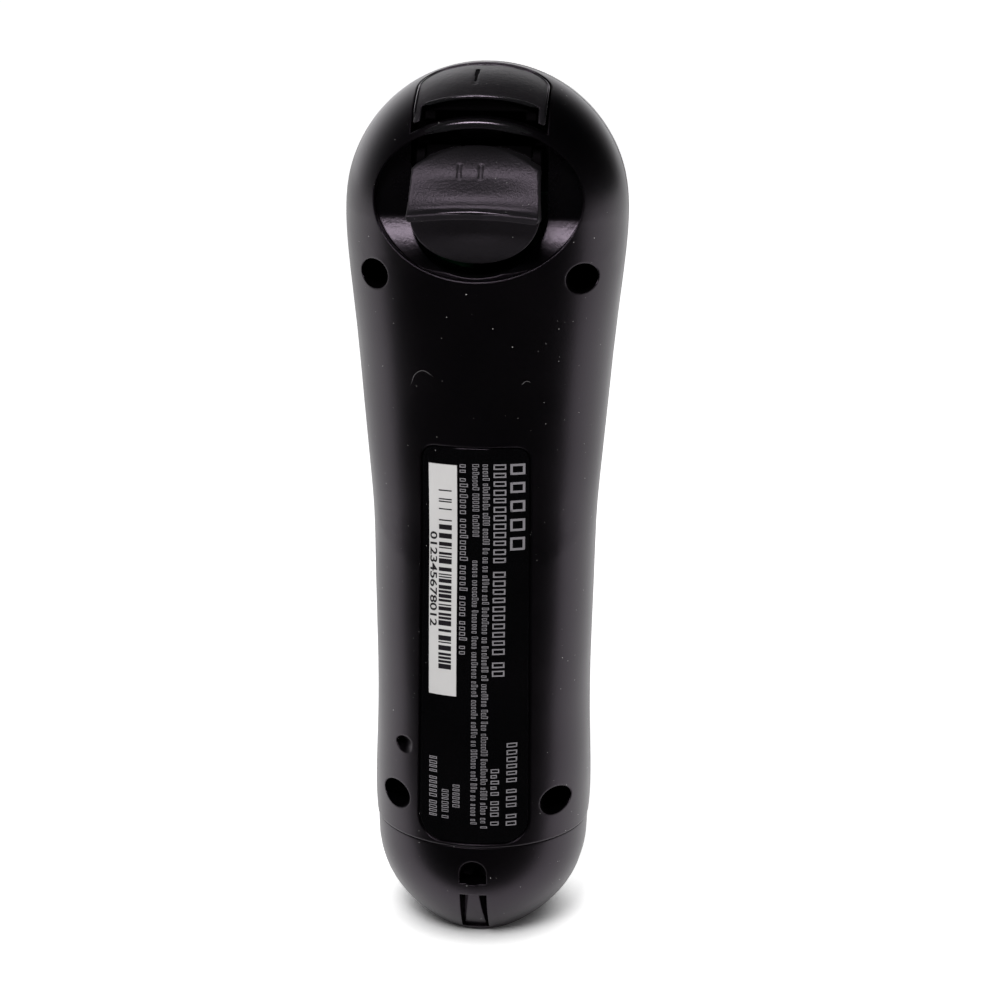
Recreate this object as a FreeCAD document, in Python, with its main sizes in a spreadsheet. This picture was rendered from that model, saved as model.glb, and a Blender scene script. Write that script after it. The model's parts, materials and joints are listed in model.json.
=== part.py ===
import FreeCAD, Part
import math
import os
import re

# Hand-held motion navigation controller: a round-headed grip that stands on its flat tail end.
# Millimetres. Origin at the centre of the flat tail end, +Z up to the head, +X to the right when
# the triggers face the viewer, -Y the trigger and label side, +Y the thumb-stick side.
# Places on the head are measured from the centre of its dome, places on the tail from the flat end.

driving_sizes = [
    ("seam_height", 17.6, "joint between tail cap and shells"),
    ("seam_half_width", 17.2, "body at the seam"),
    ("seam_back", 17.0, ""),
    ("seam_front", 15.0, ""),
    ("tail_height", 25.0, "swell just above the seam"),
    ("tail_half_width", 17.4, ""),
    ("tail_back", 17.2, ""),
    ("tail_front", 15.2, ""),
    ("grip_height", 38.0, "narrowest part of the grip"),
    ("grip_half_width", 17.05, ""),
    ("grip_back", 16.9, ""),
    ("grip_front", 15.0, ""),
    ("middle_height", 58.0, ""),
    ("middle_half_width", 17.35, ""),
    ("middle_back", 16.5, ""),
    ("middle_front", 15.0, ""),
    ("neck_height", 80.0, "where the head begins to widen"),
    ("neck_half_width", 18.5, ""),
    ("neck_back", 17.0, ""),
    ("neck_front", 15.6, ""),
    ("shoulder_height", 100.0, ""),
    ("shoulder_half_width", 20.25, ""),
    ("shoulder_back", 19.3, ""),
    ("shoulder_front", 16.1, ""),
    ("dome_height", 116.5, "centre of the head's dome"),
    ("head_radius", 21.5, "dome radius, half the head's width"),
    ("head_back", 20.6, ""),
    ("head_front", 16.4, ""),
    ("front_fullness", 2.5, "exponent of the flatter thumb side, 2 is an ellipse"),
    ("wall", 1.8, "shell thickness"),
    ("cap_wall", 2.4, "tail cap thickness"),
    ("base_radius", 8.0, "flat tail end"),
    ("base_back", 9.5, "and its depth on the trigger side"),
    ("cap_step", 0.15, "cap lies this far inside the shells"),
    ("part_gap", 0.16, "gap at the parting line and at the seam"),
    ("fit_gap", 0.12, "gap round a seated piece"),
    ("pin_gap", 0.05, "running fit of pins and shafts"),
    ("boss_radius", 3.6, "case screw boss"),
    ("access_radius", 2.3, "screw access hole"),
    ("screw_seat", 5.0, "screw head seat behind the parting plane"),
    ("screw_radius", 1.0, "case screw shank"),
    ("upper_screw_x", 15.4, ""),
    ("upper_screw_drop", 8.6, "below the dome centre"),
    ("lower_screw_x", 12.55, ""),
    ("lower_screw_height", 24.1, ""),
    ("oval_rise", 2.65, "oval trigger recess centre above the dome centre"),
    ("oval_half_width", 15.4, ""),
    ("oval_half_height", 11.05, ""),
    ("bezel_wall", 0.9, "rim of the oval recess"),
    ("bezel_floor", 12.2, "depth of the recess floor behind the parting plane"),
    ("slot_half_width", 10.1, "slot that the lower trigger works in"),
    ("bezel_post_x", 12.3, "posts that take the frame screws"),
    ("bezel_post_rise", 6.0, "above the dome centre"),
    ("bezel_post_radius", 1.7, ""),
    ("lower_key_half_width", 9.6, "lower trigger"),
    ("lower_pin_depth", 12.0, "lower trigger pin behind the parting plane"),
    ("lower_pin_rise", 8.4, "and above the dome centre"),
    ("upper_key_half_width", 9.65, "upper trigger"),
    ("upper_key_forward", 1.2, "its face is the dome moved towards the finger"),
    ("upper_key_sink", 0.35, "and down, so that its rear edge is flush"),
    ("upper_pin_front", 1.5, "upper trigger pin before the parting plane"),
    ("upper_pin_rise", 13.3, ""),
    ("pin_radius", 0.8, "both trigger pins"),
    ("label_low", 18.1, "label recess, lower end"),
    ("label_high", 82.6, "label recess, upper end"),
    ("label_low_half_width", 8.85, ""),
    ("label_high_half_width", 8.3, ""),
    ("label_depth", 0.5, ""),
    ("label_thickness", 0.3, ""),
    ("sticker_half_width", 2.2, ""),
    ("sticker_x", -4.9, ""),
    ("sticker_low", 42.6, ""),
    ("sticker_high", 79.6, ""),
    ("sticker_thickness", 0.1, ""),
    ("stick_drop", 5.5, "stick axis below the dome centre"),
    ("stick_pivot", 7.2, "pivot before the parting plane"),
    ("stick_cap_radius", 9.8, ""),
    ("stick_cap_rise", 18.2, "cap top above the pivot"),
    ("skirt_radius", 11.5, "ball-shaped skirt round the pivot"),
    ("shaft_radius", 1.5, "stick shaft"),
    ("housing_half", 6.6, "stick module, half its side"),
    ("dpad_drop", 30.5, "four-way pad below the dome centre"),
    ("dpad_reach", 10.5, "arm length of the pad"),
    ("dpad_arm", 3.6, "half width of an arm"),
    ("dpad_top", 16.4, "top of the pad before the parting plane"),
    ("action_x", 11.5, "round buttons beside the pad"),
    ("action_drop", 43.0, "below the dome centre"),
    ("action_radius", 4.3, ""),
    ("action_tilt", 24.0, "degrees that a round button leans outwards"),
    ("action_front", 13.3, "face of the shell there, before the parting plane"),
    ("home_drop", 48.0, "round middle button below the dome centre"),
    ("home_radius", 4.4, ""),
    ("button_gap", 0.25, "gap round a button"),
    ("pad_gap", 0.45, "gap round the four-way pad"),
    ("lamp_drop", 58.5, "row of indicator lamps below the dome centre"),
    ("lamp_pitch", 3.0, ""),
    ("board_face", 2.0, "front of the main board before the parting plane"),
    ("board_thickness", 1.0, ""),
    ("board_half_width", 13.0, ""),
    ("board_low", 31.0, ""),
    ("board_top", 4.5, "top edge above the dome centre"),
    ("mat_thickness", 1.0, "rubber key mat"),
    ("cell_half_width", 11.5, "battery cell"),
    ("cell_depth", 9.0, "its back behind the parting plane"),
    ("cell_thickness", 5.8, ""),
    ("cell_low", 40.0, ""),
    ("cell_high", 84.0, ""),
    ("socket_half_width", 3.8, "charging socket"),
    ("socket_half_depth", 1.9, ""),
    ("socket_front", 2.8, "socket axis before the parting plane"),
    ("reset_x", -11.9, "reset pin-hole"),
    ("reset_height", 32.9, ""),
    ("strap_half_width", 2.15, "strap hole and slot in the cap"),
    ("strap_hole_height", 12.9, "centre of its round top"),
    ("strap_bridge_high", 11.0, "bridge between hole and slot"),
    ("strap_bridge_low", 8.9, ""),
]

far = 60.0            # beyond the body on every side, for cutting blocks
section_points = 24
dome_angles = (14, 28, 42, 54, 65, 75, 83, 88.4)
body_stations = ("seam", "tail", "grip", "middle", "neck", "shoulder")

doc = FreeCAD.newDocument("navigation_controller")
sheet = doc.addObject("Spreadsheet::Sheet", "Sizes")
for row, (alias, value, note) in enumerate(driving_sizes, start=1):
    sheet.set("A%d" % row, alias)
    sheet.set("B%d" % row, str(value))
    sheet.set("C%d" % row, note)
    sheet.setAlias("B%d" % row, alias)
doc.recompute()
aliases = set(alias for alias, value, note in driving_sizes)


def size(alias):
    # The value of one driving size, for shapes that are worked out in code
    return float(sheet.get(alias))


def bound(text):
    # Names in an expression that are driving sizes are read from the sheet
    def from_sheet(match):
        word = match.group(0)
        return "Sizes." + word if word in aliases else word
    return re.sub(r"[a-z][a-z_]*", from_sheet, str(text))


def place(piece, x, y, z):
    for axis, text in zip("xyz", (x, y, z)):
        piece.setExpression("Placement.Base." + axis, bound(text))


axis_turns = {
    "x": FreeCAD.Rotation(FreeCAD.Vector(0, 1, 0), 90),
    "y": FreeCAD.Rotation(FreeCAD.Vector(1, 0, 0), -90),
    "z": FreeCAD.Rotation(),
}


def along(piece, axis, low, across):
    # Stands the piece on its axis: low is its start there, across the other two coordinates
    piece.Placement = FreeCAD.Placement(FreeCAD.Vector(), axis_turns[axis])
    spot = list(across)
    spot.insert("xyz".index(axis), low)
    place(piece, *spot)


def box(name, x, y, z):
    # Each side is a pair of expressions, low and high
    piece = doc.addObject("Part::Box", name)
    for side, (low, high) in (("Length", x), ("Width", y), ("Height", z)):
        piece.setExpression(side, bound("(%s) - (%s)" % (high, low)))
    place(piece, x[0], y[0], z[0])
    return piece


def cylinder(name, axis, radius, span, across):
    piece = doc.addObject("Part::Cylinder", name)
    piece.setExpression("Radius", bound(radius))
    piece.setExpression("Height", bound("(%s) - (%s)" % (span[1], span[0])))
    along(piece, axis, span[0], across)
    return piece


def cone(name, axis, first, second, span, across):
    piece = doc.addObject("Part::Cone", name)
    piece.setExpression("Radius1", bound(first))
    piece.setExpression("Radius2", bound(second))
    piece.setExpression("Height", bound("(%s) - (%s)" % (span[1], span[0])))
    along(piece, axis, span[0], across)
    return piece


def sphere(name, radius, centre):
    piece = doc.addObject("Part::Sphere", name)
    piece.setExpression("Radius", bound(radius))
    place(piece, *centre)
    return piece


def cut(name, base, *tools):
    piece = doc.addObject("Part::Cut", name)
    piece.Base = base
    piece.Tool = tools[0] if len(tools) == 1 else fuse(name + "_tools", *tools)
    return piece


def fuse(name, *members):
    piece = doc.addObject("Part::MultiFuse", name)
    piece.Shapes = list(members)
    return piece


def common(name, *members):
    piece = doc.addObject("Part::MultiCommon", name)
    piece.Shapes = list(members)
    return piece


def rounded(name, base, radius, picks):
    # Fillets the edges of base that picks accepts
    doc.recompute()
    piece = doc.addObject("Part::Fillet", name)
    piece.Base = base
    piece.Edges = [(number, radius, radius)
                   for number, edge in enumerate(base.Shape.Edges, start=1) if picks(edge)]
    return piece


def runs_along(axis):
    # Accepts straight edges that run along one axis
    def picks(edge):
        heading = edge.tangentAt(edge.FirstParameter)
        return edge.Curve.TypeId == "Part::GeomLine" and abs(getattr(heading, axis)) > 0.999
    return picks


def is_rim(depth):
    # Accepts circles that lie before depth on the thumb side
    return lambda edge: edge.Curve.TypeId == "Part::GeomCircle" and edge.CenterOfMass.y > depth


def solid_from(name, shape):
    piece = doc.addObject("Part::Feature", name)
    piece.Shape = shape
    return piece


def section_wire(height, half_width, back, front):
    # One closed curve round the body: an ellipse on the trigger side, a fuller oval on the thumb side
    power = 2 / size("front_fullness")
    points = []
    for step in range(section_points):
        turn = 2 * math.pi * step / section_points
        across, deep = math.cos(turn), math.sin(turn)
        if deep > 1e-9:
            x = half_width * math.copysign(abs(across) ** power, across)
            y = front * deep ** power
        else:
            x = half_width * across
            y = back * deep
        points.append(FreeCAD.Vector(x, y, height))
    curve = Part.BSplineCurve()
    curve.interpolate(Points=points, PeriodicFlag=True)
    return Part.Wire([curve.toShape()])


def body_solid(name, inset, below=0.0):
    # The grip and head above the seam, drawn in by inset on every side, carried down by below
    sections = []
    if below:
        sections.append((size("seam_height") - below, "seam"))
    sections += [(size(station + "_height"), station) for station in body_stations]
    wires = [section_wire(height, size(station + "_half_width") - inset,
                          size(station + "_back") - inset, size(station + "_front") - inset)
             for height, station in sections]
    radius = size("head_radius") - inset
    for angle in (0,) + dome_angles:
        share = math.cos(math.radians(angle))
        rise = radius * math.sin(math.radians(angle))
        wires.append(section_wire(size("dome_height") + rise, radius * share,
                                  (size("head_back") - inset) * share, (size("head_front") - inset) * share))
    return solid_from(name, Part.makeLoft(wires, True, False))


def cap_solid(name, inset, low, high):
    # The rounded tail from low to high, drawn in by inset; it grows fast from the flat end
    seam = size("seam_height")
    steps = 9
    wires = []
    for step in range(steps + 1):
        height = low + (high - low) * (step / steps) ** 1.6
        share = (1 - max(0.0, 1 - height / seam) ** 2.8) ** 0.95 if height > 0 else 0.0
        grown = [size(base) + (size(side) - size("cap_step") - size(base)) * share - inset
                 for side, base in (("seam_half_width", "base_radius"), ("seam_back", "base_back"),
                                    ("seam_front", "base_radius"))]
        wires.append(section_wire(height, *grown))
    return solid_from(name, Part.makeLoft(wires, True, False))


def oval_prism(name, grow, low, high):
    # Upright oval of the trigger recess, grown by grow, as a solid along Y
    outline = doc.addObject("Part::Ellipse", name + "_outline")
    outline.setExpression("MajorRadius", bound("oval_half_width + %s" % grow))
    outline.setExpression("MinorRadius", bound("oval_half_height + %s" % grow))
    outline.Placement = FreeCAD.Placement(FreeCAD.Vector(), axis_turns["y"])
    place(outline, "0", low, "dome_height + oval_rise")
    prism = doc.addObject("Part::Extrusion", name)
    prism.Base = outline
    prism.DirMode = "Custom"
    prism.Dir = FreeCAD.Vector(0, 1, 0)
    prism.setExpression("LengthFwd", bound("(%s) - (%s)" % (high, low)))
    prism.Solid = True
    return prism


def prism_along_x(name, outline, half):
    # Outline is a wire in the YZ plane, made solid between -half and +half
    face = Part.Face(outline)
    face.translate(FreeCAD.Vector(-half, 0, 0))
    return solid_from(name, face.extrude(FreeCAD.Vector(2 * half, 0, 0)))


def yz_point(depth, height):
    return FreeCAD.Vector(0, depth, height)


# Shared solids: the body's outside and inside, and both halves
outer_body = body_solid("outer_body", 0.0)
inner_body = body_solid("inner_body", size("wall"), below=2.0)
clear_inside = body_solid("clear_inside", size("wall") + 0.5)
boss_limit = body_solid("boss_limit", size("wall") / 2)
rear_side = box("rear_side", (-far, far), (-far, "-part_gap/2"), (0, 200))
front_side = box("front_side", (-far, far), ("part_gap/2", far), (0, 200))

screw_spots = [(side + "_upper", factor + "upper_screw_x", "dome_height - upper_screw_drop")
               for side, factor in (("left", "-"), ("right", ""))]
screw_spots += [(side + "_lower", factor + "lower_screw_x", "lower_screw_height")
                for side, factor in (("left", "-"), ("right", ""))]
board_spots = [(-9.0, "dome_height - 18"), (9.0, "dome_height - 18"),
               (-7.0, "board_low + 7"), (7.0, "board_low + 7")]
tray_spots = ["cell_low - 4.5", "cell_high + 4.5"]
frame_spots = [(side + "bezel_post_x", "dome_height + bezel_post_rise") for side in ("-", "")]


def rear_shell():
    half = cut("rear_half", common("rear_block", outer_body, rear_side), inner_body)
    bosses = [cylinder("rear_boss_" + name, "y", "boss_radius", (-far, "-part_gap/2"), (x, z))
              for name, x, z in screw_spots]
    post_top = "-cell_depth + cell_thickness + 0.1"
    posts = [cylinder("tray_post_%d" % number, "y", "2.6", (-far, post_top), ("0", z))
             for number, z in enumerate(tray_spots)]
    ribs = [box("cell_rib_%d" % number, (x - 0.5, x + 0.5), (-far, "-cell_depth - fit_gap"),
                ("cell_low + 2", "cell_high - 2")) for number, x in enumerate((-6.0, 6.0))]
    inside = common("rear_inside", fuse("rear_supports", *(bosses + posts + ribs)), boss_limit)
    holes = []
    for name, x, z in screw_spots:
        holes.append(cylinder("access_" + name, "y", "access_radius", (-far, "-screw_seat"), (x, z)))
        holes.append(cylinder("pilot_" + name, "y", "screw_radius + pin_gap", ("-screw_seat - 1", "1"),
                              (x, z)))
    for number, z in enumerate(tray_spots):
        holes.append(cylinder("tray_pilot_%d" % number, "y", "0.85", ("-cell_depth - 1", "0"), ("0", z)))
    holes.append(oval_prism("oval_opening", "0", -far, "-part_gap"))
    holes.append(common("bezel_room", oval_prism("bezel_room_oval", "bezel_wall + 0.08", -far, "-part_gap"),
                        body_solid("bezel_room_skin", 0.95)))
    window = box("key_window", ("-upper_key_half_width - 0.35", "upper_key_half_width + 0.35"),
                 ("-head_back", "-1.5"), ("dome_height + oval_rise", "dome_height + head_radius + 3"))
    window = rounded("key_window_round", window, 4.3,
                     lambda edge: runs_along("z")(edge) and edge.CenterOfMass.y > -5)
    holes.append(cut("key_opening", window, oval_prism("web", "1.0", -far, "0")))
    label_block = common("label_block", outer_body, label_outline("label_pocket_outline", 0.0))
    holes.append(cut("label_pocket", label_block, body_solid("label_floor", size("label_depth"))))
    holes.append(cylinder("reset_hole", "y", "0.6", (-far, "-8"), ("reset_x", "reset_height")))
    holes.append(cone("reset_funnel", "y", "2.0", "0.6", ("-13.7", "-11.1"), ("reset_x", "reset_height")))
    return cut("rear_shell", fuse("rear_solid", half, inside), *holes)


def label_outline(name, inset):
    # Rounded tapering outline of the label, as a prism through the trigger side
    low, high = size("label_low") + inset, size("label_high") - inset
    bottom, top = size("label_low_half_width") - inset, size("label_high_half_width") - inset
    corners = [(-bottom, low), (bottom, low), (top, high), (-top, high)]
    points = [FreeCAD.Vector(x, -far, z) for x, z in corners]
    face = Part.Face(Part.makePolygon(points + points[:1]))
    block = face.extrude(FreeCAD.Vector(0, far, 0))
    upright = [edge for edge in block.Edges if abs(edge.tangentAt(edge.FirstParameter).y) > 0.999]
    lower = [edge for edge in upright if edge.CenterOfMass.z < low + 1]
    block = block.makeFillet(4.0 - inset, lower)
    upper = [edge for edge in block.Edges
             if abs(edge.tangentAt(edge.FirstParameter).y) > 0.999 and edge.CenterOfMass.z > high - 0.01]
    return solid_from(name, block.makeFillet(2.2 - inset, upper))


def label_plate():
    upper_skin = body_solid("label_top", size("label_depth") - size("label_thickness") - 0.02)
    lower_skin = body_solid("label_bottom", size("label_depth") - 0.02)
    sheet_block = common("label_sheet", upper_skin, label_outline("label_edge", 0.25))
    return cut("label_plate", sheet_block, lower_skin)


def serial_sticker():
    lift = size("label_depth") - size("label_thickness") - 0.03
    outline = box("sticker_outline", ("sticker_x - sticker_half_width", "sticker_x + sticker_half_width"),
                  (-far, "-5"), ("sticker_low", "sticker_high"))
    block = common("sticker_sheet", body_solid("sticker_top", lift - size("sticker_thickness")), outline)
    return cut("serial_sticker", block, body_solid("sticker_bottom", lift))


def tilted_cylinder(name, radius, low, high, side):
    # Cylinder on the leaning axis of a round button, from low to high outside the shell's face
    piece = doc.addObject("Part::Cylinder", name)
    piece.setExpression("Radius", bound(radius))
    piece.setExpression("Height", bound("(%s) - (%s)" % (high, low)))
    lean = FreeCAD.Rotation(FreeCAD.Vector(0, 0, 1), -side * size("action_tilt"))
    piece.Placement = FreeCAD.Placement(FreeCAD.Vector(), lean.multiply(axis_turns["y"]))
    place(piece, "%d * (action_x + sin(action_tilt * 1deg) * (%s))" % (side, low),
          "action_front + cos(action_tilt * 1deg) * (%s)" % low, "dome_height - action_drop")
    return piece


def front_shell():
    half = cut("front_half", common("front_block", outer_body, front_side), inner_body)
    stick_z, pad_z = "dome_height - stick_drop", "dome_height - dpad_drop"
    backing = [cylinder("front_boss_" + name, "y", "boss_radius", ("part_gap/2", far), (x, z))
               for name, x, z in screw_spots]
    backing += [cylinder("board_post_%d" % number, "y", "2.2", ("board_face + 0.1", far), (x, z))
                for number, (x, z) in enumerate(board_spots)]
    backing += [cylinder("stick_seat", "y", "14.2", ("stick_pivot + 6.2", far), ("0", stick_z)),
                cylinder("pad_seat", "y", "12.6", ("dpad_top - 4", far), ("0", pad_z))]
    inside = common("front_inside", fuse("front_supports", *backing), boss_limit)
    holes = [cylinder("front_pilot_" + name, "y", "screw_radius + pin_gap", ("-1", "screw_seat + 1"), (x, z))
             for name, x, z in screw_spots]
    holes += [cylinder("board_pilot_%d" % number, "y", "0.85", ("0", "board_face + 6"), (x, z))
              for number, (x, z) in enumerate(board_spots)]
    holes += [cylinder("stick_dish", "y", "13.2", ("stick_pivot + 7.4", far), ("0", stick_z)),
              cone("stick_opening", "y", "10.05", "9.2", ("stick_pivot + 6.15", "stick_pivot + 7.45"),
                   ("0", stick_z)),
              cylinder("pad_dish", "y", "dpad_reach + 0.9", ("dpad_top - 2.4", far), ("0", pad_z)),
              box("pad_opening_wide", ("-dpad_reach - pad_gap", "dpad_reach + pad_gap"),
                  ("dpad_top - 6", far),
                  (pad_z + " - dpad_arm - pad_gap", pad_z + " + dpad_arm + pad_gap")),
              box("pad_opening_tall", ("-dpad_arm - pad_gap", "dpad_arm + pad_gap"), ("dpad_top - 6", far),
                  (pad_z + " - dpad_reach - pad_gap", pad_z + " + dpad_reach + pad_gap")),
              cylinder("home_hole", "y", "home_radius + button_gap", ("5", far),
                       ("0", "dome_height - home_drop"))]
    holes += [tilted_cylinder("action_hole_%d" % side, "action_radius + button_gap", "-4.2", "9", side)
              for side in (-1, 1)]
    holes += [box("lamp_slot_%d" % number, ("%g*lamp_pitch - 0.85" % step, "%g*lamp_pitch + 0.85" % step),
                  ("6", far), ("dome_height - lamp_drop - 0.5", "dome_height - lamp_drop + 0.5"))
              for number, step in enumerate((-1.5, -0.5, 0.5, 1.5))]
    return cut("front_shell", fuse("front_solid", half, inside), *holes)


def tail_cap():
    seam = size("seam_height")
    outside = cap_solid("cap_outside", 0.0, 0.0, seam - size("part_gap"))
    inside = cap_solid("cap_inside", size("cap_wall"), size("cap_wall"), seam + 1)
    spigot_skin = cut("spigot_skin", body_solid("spigot_outside", size("wall") + size("fit_gap"), below=3.0),
                      body_solid("spigot_inside", size("wall") + 1.1, below=4.0))
    spigot = common("spigot", spigot_skin,
                    box("spigot_span", (-far, far), (-far, far), ("seam_height - 2.5", "seam_height + 1.7")))
    anchor = box("strap_anchor", ("-strap_half_width - 1.4", "strap_half_width + 1.4"), (-far, "-8.5"),
                 ("cap_wall/2", "seam_height - 1.5"))
    deep = "-10.5"
    holes = [cylinder("strap_hole_top", "y", "strap_half_width", (-far, deep), ("0", "strap_hole_height")),
             box("strap_hole_base", ("-strap_half_width", "strap_half_width"), (-far, deep),
                 ("strap_bridge_high", "strap_hole_height")),
             box("strap_slot", ("-strap_half_width", "strap_half_width"), (-far, "-8.6"),
                 ("0.9", "strap_bridge_low")),
             box("strap_passage", ("-strap_half_width", "strap_half_width"), ("-12.6", deep),
                 ("strap_bridge_low - 1", "strap_bridge_high + 1")),
             box("socket_opening", ("-socket_half_width - 0.2", "socket_half_width + 0.2"),
                 ("socket_front - socket_half_depth - 0.2", "socket_front + socket_half_depth + 0.2"),
                 ("-1", "cap_wall + 1"))]
    ramp_low, ramp_high = 1.8, 0.8
    ramp_top = size("strap_bridge_low") + 0.3
    corners = [(-ramp_low, 0.7), (ramp_low, 0.7), (ramp_high, ramp_top), (-ramp_high, ramp_top)]
    points = [FreeCAD.Vector(x, -far, z) for x, z in corners]
    wedge = Part.Face(Part.makePolygon(points + points[:1])).extrude(FreeCAD.Vector(0, far - 8.0, 0))
    ramp = common("strap_ramp", solid_from("ramp_block", wedge), cap_solid("ramp_limit", 0.7, 0.0, seam - 1))
    hollow = cut("cap_hollow", outside, cut("cap_cavity", inside, anchor))
    return fuse("tail_cap", cut("cap_cut", hollow, *holes), spigot, ramp)


def trigger_bezel():
    # Oval insert of the head: a pocket with a curved ramp below and a slot for the lower trigger
    block = common("bezel_block", oval_prism("bezel_outside", "bezel_wall", -far, "-bezel_floor + 1.2"),
                   body_solid("bezel_skin", 1.05))
    pocket = oval_prism("bezel_pocket", "0.02", -far, "-bezel_floor")
    low = size("dome_height") + size("oval_rise") - size("oval_half_height")
    crease = low + 8.4
    floor = -size("bezel_floor")
    ramp_edge = Part.Arc(yz_point(-size("head_back") - 1, low + 0.2), yz_point(floor - 4.0, low + 2.6),
                         yz_point(floor + 0.02, crease))
    corner = yz_point(floor + 0.02, low - 3)
    outline = Part.Wire([ramp_edge.toShape(), Part.makeLine(yz_point(floor + 0.02, crease), corner),
                         Part.makeLine(corner, yz_point(-size("head_back") - 1, low - 3)),
                         Part.makeLine(yz_point(-size("head_back") - 1, low - 3),
                                       yz_point(-size("head_back") - 1, low + 0.2))])
    cavity = cut("bezel_cavity", pocket, prism_along_x("bezel_ramp", outline, 20.0))
    slot_arc = doc.addObject("Part::Ellipse", "slot_arc")
    slot_arc.setExpression("MajorRadius", bound("slot_half_width"))
    slot_arc.setExpression("MinorRadius", "8.0")
    slot_arc.Placement = FreeCAD.Placement(FreeCAD.Vector(), axis_turns["y"])
    place(slot_arc, "0", -far, "dome_height")
    slot_low = doc.addObject("Part::Extrusion", "slot_low")
    slot_low.Base = slot_arc
    slot_low.DirMode = "Custom"
    slot_low.Dir = FreeCAD.Vector(0, 1, 0)
    slot_low.LengthFwd = far
    slot_low.Solid = True
    slot_high = common("slot_high", box("slot_block", ("-slot_half_width", "slot_half_width"), (-far, "0"),
                       ("dome_height", "dome_height + head_radius")),
                       oval_prism("slot_limit", "0.01", -far, "0"))
    post_span = ("-bezel_floor + 1.0", "-7.1")
    posts = [cylinder("bezel_post_%d" % number, "y", "bezel_post_radius", post_span, spot)
             for number, spot in enumerate(frame_spots)]
    pilots = [cylinder("bezel_pilot_%d" % number, "y", "0.75", ("-bezel_floor + 1.3", "-7"), spot)
              for number, spot in enumerate(frame_spots)]
    return cut("trigger_bezel", fuse("bezel_solid", block, *posts), cavity, slot_low, slot_high, *pilots)


def upper_trigger():
    # Hood over the dome's top edge, with side legs, hinge arms and a plunger for its switch
    top = "dome_height + head_radius + 3"
    half = "upper_key_half_width"
    plan = box("key_plan", ("-" + half, half), (-20, "-1.85"), ("dome_height + oval_rise", top))
    plan = rounded("key_plan_round", plan, 4.0,
                   lambda edge: runs_along("z")(edge) and edge.CenterOfMass.y > -5)
    proud = body_solid("key_outside", 0.0)
    place(proud, "0", "-upper_key_forward", "-upper_key_sink")
    block = common("hood_block", proud, plan)
    hood = cut("hood", block, body_solid("key_inside", 1.3), oval_prism("hood_edge", "3.8", -far, "0"))
    leg_span = ((-20, "-9"), ("dome_height", top))
    sides = fuse("leg_sides", box("leg_left", ("-" + half, "-%s + 1.1" % half), *leg_span),
                 box("leg_right", (half + " - 1.1", half), *leg_span))
    legs = cut("legs", common("leg_block", block, sides), body_solid("leg_inside", 3.0),
               oval_prism("leg_edge", "2.0", -far, "0"))
    pin = ("upper_pin_front", "dome_height + upper_pin_rise")
    arms = [box("key_arm_%d" % side, (low, low + 1.6), ("-11.0", "upper_pin_front"),
                ("dome_height + 13.9", "dome_height + head_radius")) for side, low in ((0, -8.2), (1, 6.6))]
    web = box("key_web", (-8.9, 8.9), ("-11.4", "-10.2"), ("dome_height + 15.3", "dome_height + head_radius"))
    plunger = cylinder("key_plunger", "z", "1.2", ("dome_height + 13.95", "dome_height + head_radius"),
                       ("0", "-7"))
    under = common("under_window", fuse("under_parts", arms[0], arms[1], web, plunger), plan,
                   body_solid("under_hood", 0.9))
    behind = common("behind_window", fuse("behind_parts", *arms), clear_inside)
    barrel = cylinder("key_barrel", "x", "1.9", (-8.2, 8.2), pin)
    bore = cylinder("key_bore", "x", "pin_radius + pin_gap", (-9, 9), pin)
    return cut("upper_trigger", fuse("key_solid", hood, legs, under, behind, barrel), bore)


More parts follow.
